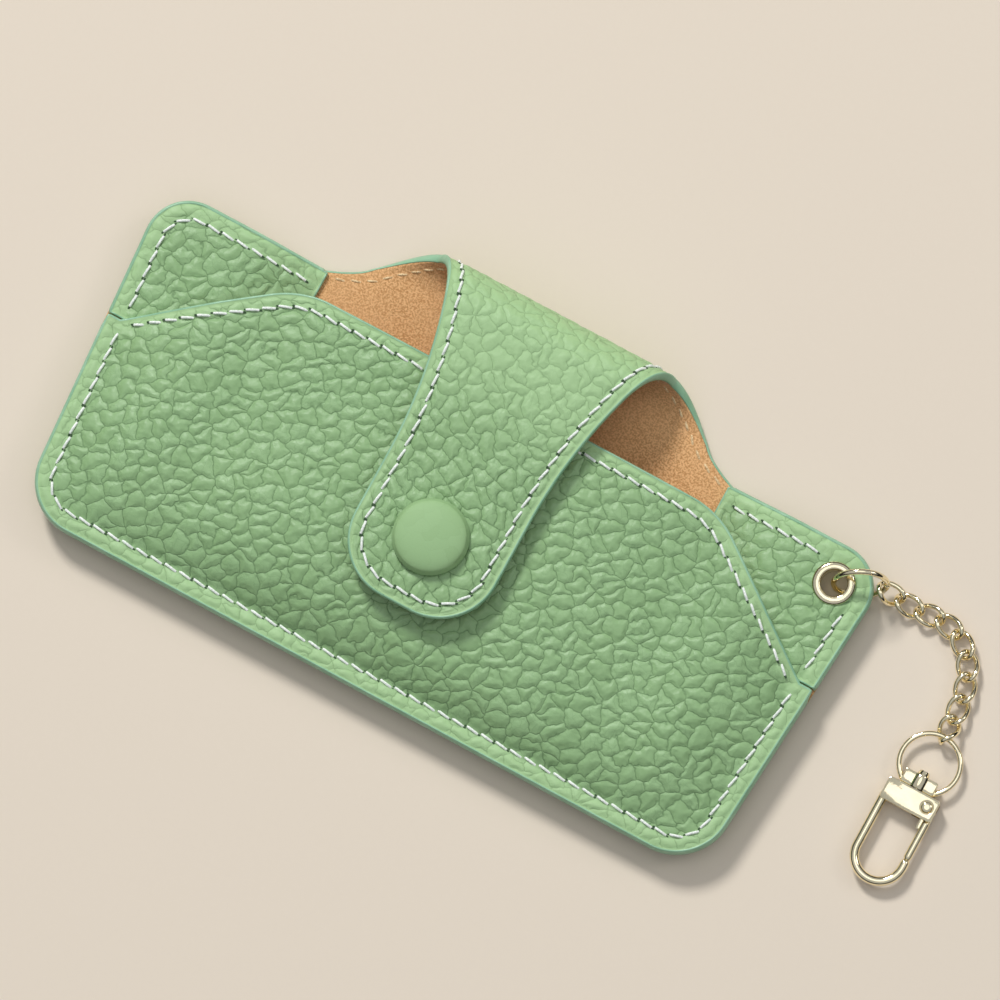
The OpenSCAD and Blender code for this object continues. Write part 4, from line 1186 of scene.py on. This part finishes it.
ring_out = np.array([math.cos(math.radians(JUMP_DIR)), math.sin(math.radians(JUMP_DIR)), 0])
lean = math.radians(JUMP_LEAN)
ring_up = np.array([-ring_out[1] * math.sin(lean), ring_out[0] * math.sin(lean), math.cos(lean)])
ring_centre = np.array([*EYELET, JUMP_Z]) + (JUMP_R - 0.1) * ring_out


def circle(centre, a, b, r, start=0.0, end=360.0, count=72, closed=True):
    t = np.radians(np.linspace(start, end, count, endpoint=not closed))
    return centre + r * (np.cos(t)[:, None] * a + np.sin(t)[:, None] * b)


metal_piece(tube("jump_ring_wire", circle(ring_centre, ring_out, ring_up, JUMP_R, 4, 353, 90, False), JUMP_WIRE,
                 (gold,)), "ring", "jump_ring")


def link_tree():
    """A twisted oval link of round wire, swept along its own centre line."""
    names = ["Half length", "Half width", "Wire", "First turn", "Last turn"]
    tree, ins, outs = group_tree("curb link", "GeometryNodeTree",
                                 [("Geometry", "Geometry")] + [(n, "Float") for n in names]
                                 + [("Metal", "Material")], [("Geometry", "Geometry")])
    oval = add(tree, "GeometryNodeCurvePrimitiveCircle", {"Resolution": 56, "Radius": 1.0}, mode="RADIUS").outputs[0]
    place = add(tree, "ShaderNodeSeparateXYZ", {0: add(tree, "GeometryNodeInputPosition").outputs[0]})

    def flattened(value):
        size = sums(tree, "POWER", sums(tree, "ABSOLUTE", value), 0.85)
        return sums(tree, "MULTIPLY", size, sums(tree, "SIGN", value))
    x = flattened(place.outputs["X"])
    width = sums(tree, "MULTIPLY", flattened(place.outputs["Y"]), ins.outputs["Half width"])
    middle = sums(tree, "MULTIPLY", sums(tree, "ADD", ins.outputs["First turn"], ins.outputs["Last turn"]), 0.5)
    swing = sums(tree, "MULTIPLY", sums(tree, "SUBTRACT", ins.outputs["Last turn"], ins.outputs["First turn"]), 0.5)
    turn = sums(tree, "MULTIPLY_ADD", x, swing, middle)
    spot = add(tree, "ShaderNodeCombineXYZ",
               {"X": sums(tree, "MULTIPLY", x, ins.outputs["Half length"]),
                "Y": sums(tree, "MULTIPLY", width, sums(tree, "COSINE", turn)),
                "Z": sums(tree, "MULTIPLY", width, sums(tree, "SINE", turn))}).outputs[0]
    line = add(tree, "GeometryNodeSetPosition", {"Geometry": oval, "Position": spot}).outputs[0]
    ring = add(tree, "GeometryNodeCurvePrimitiveCircle", {"Resolution": 14, "Radius": ins.outputs["Wire"]},
               mode="RADIUS").outputs[0]
    wire = add(tree, "GeometryNodeCurveToMesh", {"Curve": line, "Profile Curve": ring}).outputs[0]
    wire = add(tree, "GeometryNodeSetShadeSmooth", {"Geometry": wire}).outputs[0]
    tree.links.new(painted(tree, wire, ins.outputs["Metal"]), outs.inputs[0])
    return tree


LINK = link_tree()
LINK_A = LINK_LEN / 2 - LINK_WIRE
LINK_STEP = 2 * LINK_A - 2 * LINK_WIRE - LINK_SLACK
HOOK_TURN = math.radians(-26)
LINK_HEADS = [0, -4, 9, -12, -38, -60, -76, -84, -90]
LINK_Z = [1.9, 1.45, 1.4, 1.4, 1.4, 1.4, 1.4, 1.5, 2.1]
pivots = [ring_centre + (JUMP_R - JUMP_WIRE - LINK_SLACK / 2)
          * (math.cos(HOOK_TURN) * ring_out + math.sin(HOOK_TURN) * ring_up)]
for k in range(9):
    rise = LINK_Z[k] - pivots[-1][2]
    run = math.sqrt(LINK_STEP ** 2 - rise ** 2)
    heading = math.radians(LINK_HEADS[k])
    pivots.append(pivots[-1] + np.array([run * math.cos(heading), run * math.sin(heading), rise]))
for k in range(9):
    obj = make_mesh(f"chain_wire_{k + 1}", np.zeros((0, 3)))
    last_turn = 88 if k == 8 else 45
    run_tree(obj, LINK, {"Half length": LINK_A * METRE, "Half width": LINK_HALF * METRE, "Wire": LINK_WIRE * METRE,
                         "First turn": math.radians(-45), "Last turn": math.radians(last_turn), "Metal": gold})
    step = pivots[k + 1] - pivots[k]
    place = (Matrix.Translation(Vector((pivots[k] + step / 2) * METRE))
             @ Matrix.Rotation(math.atan2(step[1], step[0]), 4, "Z")
             @ Matrix.Rotation(-math.asin(step[2] / np.linalg.norm(step)), 4, "Y"))
    obj.data.transform(place)
    metal_piece(obj, f"link_{k + 1}", f"chain_link_{k + 1}")

# clasp, drawn with its ring centred at clasp_at and its hook towards -Y
clasp_at = pivots[9] - np.array([0, CLASP_RING_R - CLASP_RING_WIRE - LINK_SLACK / 2, 0])
BOSS_LOW, BOSS_HIGH, BOSS_HALF = -5.7, -2.8, 3.6
BLOCK_W, BLOCK_D, BLOCK_T = 11.6, 4.85, 3.4
BLOCK_TOP = BOSS_LOW - 0.12
BLOCK_LOW = BLOCK_TOP - BLOCK_D
RIVET = (3.7, BLOCK_TOP - 2.3, 0)
SLOT_TOP, SLOT_HALF = BLOCK_TOP - 0.68, 1.15
HOOK_Y, HOOK_R, HOOK_ROD, NOSE_Y = -21.0, 5.08, 0.97, -19.6


def plate(name, outline, low, high, bevel, axis="Z"):
    """A flat piece with bevelled rims, from its outline seen along an axis."""
    outline = np.asarray(outline, float)
    run = np.roll(outline, -1, 0) - np.roll(outline, 1, 0)
    inward = np.stack([-run[:, 1], run[:, 0]], 1) / np.linalg.norm(run, axis=1)[:, None]
    layers = []
    for t in (0.0, 0.5, 1.0):
        turn = t * math.pi / 2
        layers.append((bevel * (1 - math.sin(turn)), low + bevel * (1 - math.cos(turn))))
    layers += [(inset, low + high - z) for inset, z in layers[::-1]]
    n = len(outline)
    points = np.concatenate([np.column_stack([outline + inward * inset, np.full(n, z)]) for inset, z in layers])
    if axis == "Y":
        points = points[:, [0, 2, 1]] * np.array([1, 1, -1])
    return make_mesh(name, points, wrap(len(layers), n), (gold,))


def round_box(x0, x1, y0, y1, r, count=6):
    corners = ((x1 - r, y0 + r, -90), (x1 - r, y1 - r, 0), (x0 + r, y1 - r, 90), (x0 + r, y0 + r, 180))
    return [p for cx, cy, a in corners for p in arc(cx, cy, r, a, a + 90, count)]


def disc(r, count=40):
    return arc(0, 0, r, 0, 360 * (1 - 1 / count), count)


def combine(base, *steps):
    """Joins, cuts or keeps solids in turn, and leaves one mesh."""
    for operation, other in steps:
        modifier = base.modifiers.new("combine", "BOOLEAN")
        modifier.operation = operation
        modifier.solver = "EXACT"
        modifier.object = other
        graph = bpy.context.evaluated_depsgraph_get()
        base.data = bpy.data.meshes.new_from_object(base.evaluated_get(graph), depsgraph=graph)
        base.modifiers.clear()
        bpy.data.objects.remove(other)
    weld(base)
    areas = np.zeros(len(base.data.polygons))
    base.data.polygons.foreach_get("area", areas)
    base.data.polygons.foreach_set("use_smooth", areas < 1.2 * METRE ** 2)
    base.data.set_sharp_from_angle(angle=math.radians(32))
    return base


def moved_by(obj, place):
    obj.data.transform(Matrix.Translation(Vector(place) * METRE))
    return obj


# hook: one rod bent into a U
leg = [(-HOOK_R, y, 0) for y in np.linspace(BLOCK_LOW + 0.9, HOOK_Y + 0.4, 12)]
bow = [(HOOK_R * math.cos(t), HOOK_Y + HOOK_R * math.sin(t), 0) for t in np.radians(np.linspace(180, 360, 40))]
nose = [(HOOK_R, NOSE_Y - 0.35, 0)]
hook = tube("hook_rod", clasp_at + np.array(leg + bow + nose), HOOK_ROD, (gold,), sides=24)
metal_piece(hook, "clasp", "clasp_hook")

block = plate("clasp_block_body", round_box(-BLOCK_W / 2, BLOCK_W / 2, BLOCK_LOW, BLOCK_TOP, 0.75),
              -BLOCK_T / 2, BLOCK_T / 2, 0.28)
slot = plate("slot", round_box(1.6, BLOCK_W, BLOCK_LOW - 3, SLOT_TOP, 0.2), -SLOT_HALF, SLOT_HALF, 0.05)
seat = plate("seat", disc(1.5), BLOCK_T / 2 - 0.22, BLOCK_T, 0.05)
moved_by(seat, RIVET)
combine(block, ("DIFFERENCE", slot), ("DIFFERENCE", seat))
metal_piece(moved_by(block, clasp_at), "clasp", "clasp_block")

head = [(0.0, BLOCK_T / 2 - 0.2), (1.12, BLOCK_T / 2 - 0.2), (1.12, BLOCK_T / 2 + 0.12), (0.95, BLOCK_T / 2 + 0.28),
        (0.5, BLOCK_T / 2 + 0.36), (0.0, BLOCK_T / 2 + 0.38)]
rivet = lathe("clasp_rivet", head, RIVET, (gold,), count=40, closed=False)
metal_piece(moved_by(rivet, clasp_at), "clasp", "gate_rivet")

ring_line = circle(np.zeros(3), np.array([1.0, 0, 0]), np.array([0, 1.0, 0]), CLASP_RING_R,
                   -90 + 31, 270 - 31, 72, False)
eye = tube("clasp_ring_wire", ring_line, CLASP_RING_WIRE, (gold,), sides=20)
boss = plate("boss", round_box(-BOSS_HALF, BOSS_HALF, BOSS_LOW, BOSS_HIGH, 0.35), -1.1, 1.1, 0.2)
barrel_piece = plate("barrel", disc(1.75), BOSS_LOW, BOSS_HIGH, 0.2, axis="Y")
bore = plate("bore", disc(0.96, 24), BOSS_LOW - 2, BOSS_HIGH + 2, 0.05, axis="Y")
combine(eye, ("UNION", boss), ("UNION", barrel_piece), ("DIFFERENCE", bore))
metal_piece(moved_by(eye, clasp_at), "clasp_eye", "clasp_ring")

lever = plate("gate_lever", disc(1.5), -1.05, 0.25, 0.15)
moved_by(lever, RIVET)
GATE_LOW = NOSE_Y + 0.3
bar = plate("bar", round_box(HOOK_R - 1.55, HOOK_R + 0.75, GATE_LOW + 6.6, RIVET[1], 0.3), -1.04, 0.24, 0.12)
rod = tube("rod", [(HOOK_R - 0.05, y, 0) for y in np.linspace(GATE_LOW + 0.75, GATE_LOW + 8.2, 8)], 0.85, (gold,))
hole = plate("hole", disc(0.85, 24), -3, 3, 0.05)
moved_by(hole, RIVET)
combine(lever, ("UNION", bar), ("UNION", rod), ("DIFFERENCE", hole))
metal_piece(moved_by(lever, clasp_at), "gate", "clasp_gate")

for name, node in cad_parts.items():
    if not node.hide_render:
        node.data.materials.clear()
        node.data.materials.append(gold if name.startswith("clasp") else gold_inner)

# ---- snap cap ----

dome = [(SNAP_R - 0.25, 0.0), (SNAP_R, 0.25), (SNAP_R, 0.75), (SNAP_R - 0.12, 1.15), (SNAP_R - 0.5, 1.62)]
dome += [((SNAP_R - 0.5) * math.cos(t), 1.62 + (SNAP_DOME - 1.62) * math.sin(t)) for t in np.linspace(0.08, 1.45, 22)]
dome += [(0.0, SNAP_DOME), (0.0, 2.42), (2.5, 2.22), (5.0, 1.52), (6.32, 0.62), (6.32, 0.0)]
cap = lathe("snap_cap_leather", dome, (0, SNAP_Y, 2 * FOLD_R), (cap_leather,), count=96)
co = corners_of(cap) / METRE
put_attribute(cap.data, "hide", co + np.array([400, 0, 0]))
put_attribute(cap.data, "relief", np.full(len(co), 0.06))
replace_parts(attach(cap, "strap_tab"), "snap_cap_cover")

# ---- floor, light and camera ----

floor_material, tree, shader = principled("pale beige paper", (0.74, 0.655, 0.545), 0.9, Specular_IOR_Level=0.0)
where = add(tree, "ShaderNodeTexCoord").outputs["Object"]
tooth = noise(tree, where, 900.0, 2.0)
tree.links.new(blend_colour(tree, tooth, (0.747, 0.653, 0.533, 1), (0.757, 0.663, 0.543, 1)),
               shader.inputs["Base Color"])
FLOOR_Z = -0.3
floor = make_mesh("floor", [(x, y, FLOOR_Z) for x, y in ((-2500, -2500), (2500, -2500), (2500, 2500), (-2500, 2500))],
                  [(0, 1, 2, 3)], (floor_material,), smooth_faces=False)

scene = bpy.context.scene
world = bpy.data.worlds.new("studio")
scene.world = world
world.use_nodes = True
sky = world.node_tree
heading = add(sky, "ShaderNodeSeparateXYZ", {0: add(sky, "ShaderNodeTexCoord").outputs["Generated"]}).outputs["Z"]
overhead = ramp(sky, heading, 0.34, 0.62, 0.02, 0.5)
below = ramp(sky, heading, -0.1, 0.02, 0.3, 0.0)
sky.nodes["Background"].inputs["Color"].default_value = (0.92, 0.96, 1.04, 1)
sky.links.new(sums(sky, "ADD", overhead, below), sky.nodes["Background"].inputs["Strength"])
scene.view_settings.view_transform = "Standard"

IMAGE_TURN = math.radians(28.24)
IMAGE_RIGHT = Vector((math.cos(IMAGE_TURN), math.sin(IMAGE_TURN), 0))
IMAGE_UP = Vector((-math.sin(IMAGE_TURN), math.cos(IMAGE_TURN), 0))
target = Vector((7.1, 11.3, 5.0)) * METRE


def soft_light(name, direction, distance, size, power):
    light = bpy.data.lights.new(name, "AREA")
    light.shape = "DISK"
    light.size = size
    light.energy = power
    lamp = bpy.data.objects.new(name, light)
    scene.collection.objects.link(lamp)
    lamp.location = target + direction.normalized() * distance
    lamp.rotation_euler = direction.to_track_quat("Z", "Y").to_euler()


soft_light("key light", -0.35 * IMAGE_RIGHT + 1.0 * IMAGE_UP + Vector((0, 0, 1.05)), 3.2, 0.7, 74.0)
soft_light("top light", Vector((0.0, 0.1, 1)), 3.2, 2.0, 9.5)
soft_light("side light", 1.0 * IMAGE_RIGHT + 0.3 * IMAGE_UP + Vector((0, 0, 0.8)), 3.0, 0.9, 7.0)

towards = Vector((0.117, -0.096, 1.0))
camera = bpy.data.objects.new("camera", bpy.data.cameras.new("camera"))
scene.collection.objects.link(camera)
FIELD, DISTANCE, SENSOR = 0.201, 1.80, 36.0
camera.data.lens = SENSOR * DISTANCE / FIELD
camera.data.sensor_width = SENSOR
camera.data.clip_start = 0.01
back_axis = towards.normalized()
right_axis = (IMAGE_RIGHT - back_axis * IMAGE_RIGHT.dot(back_axis)).normalized()
up_axis = back_axis.cross(right_axis)
turn = Matrix((right_axis, up_axis, back_axis)).transposed()
camera.matrix_world = Matrix.Translation(target + back_axis * DISTANCE) @ turn.to_4x4()
scene.camera = camera
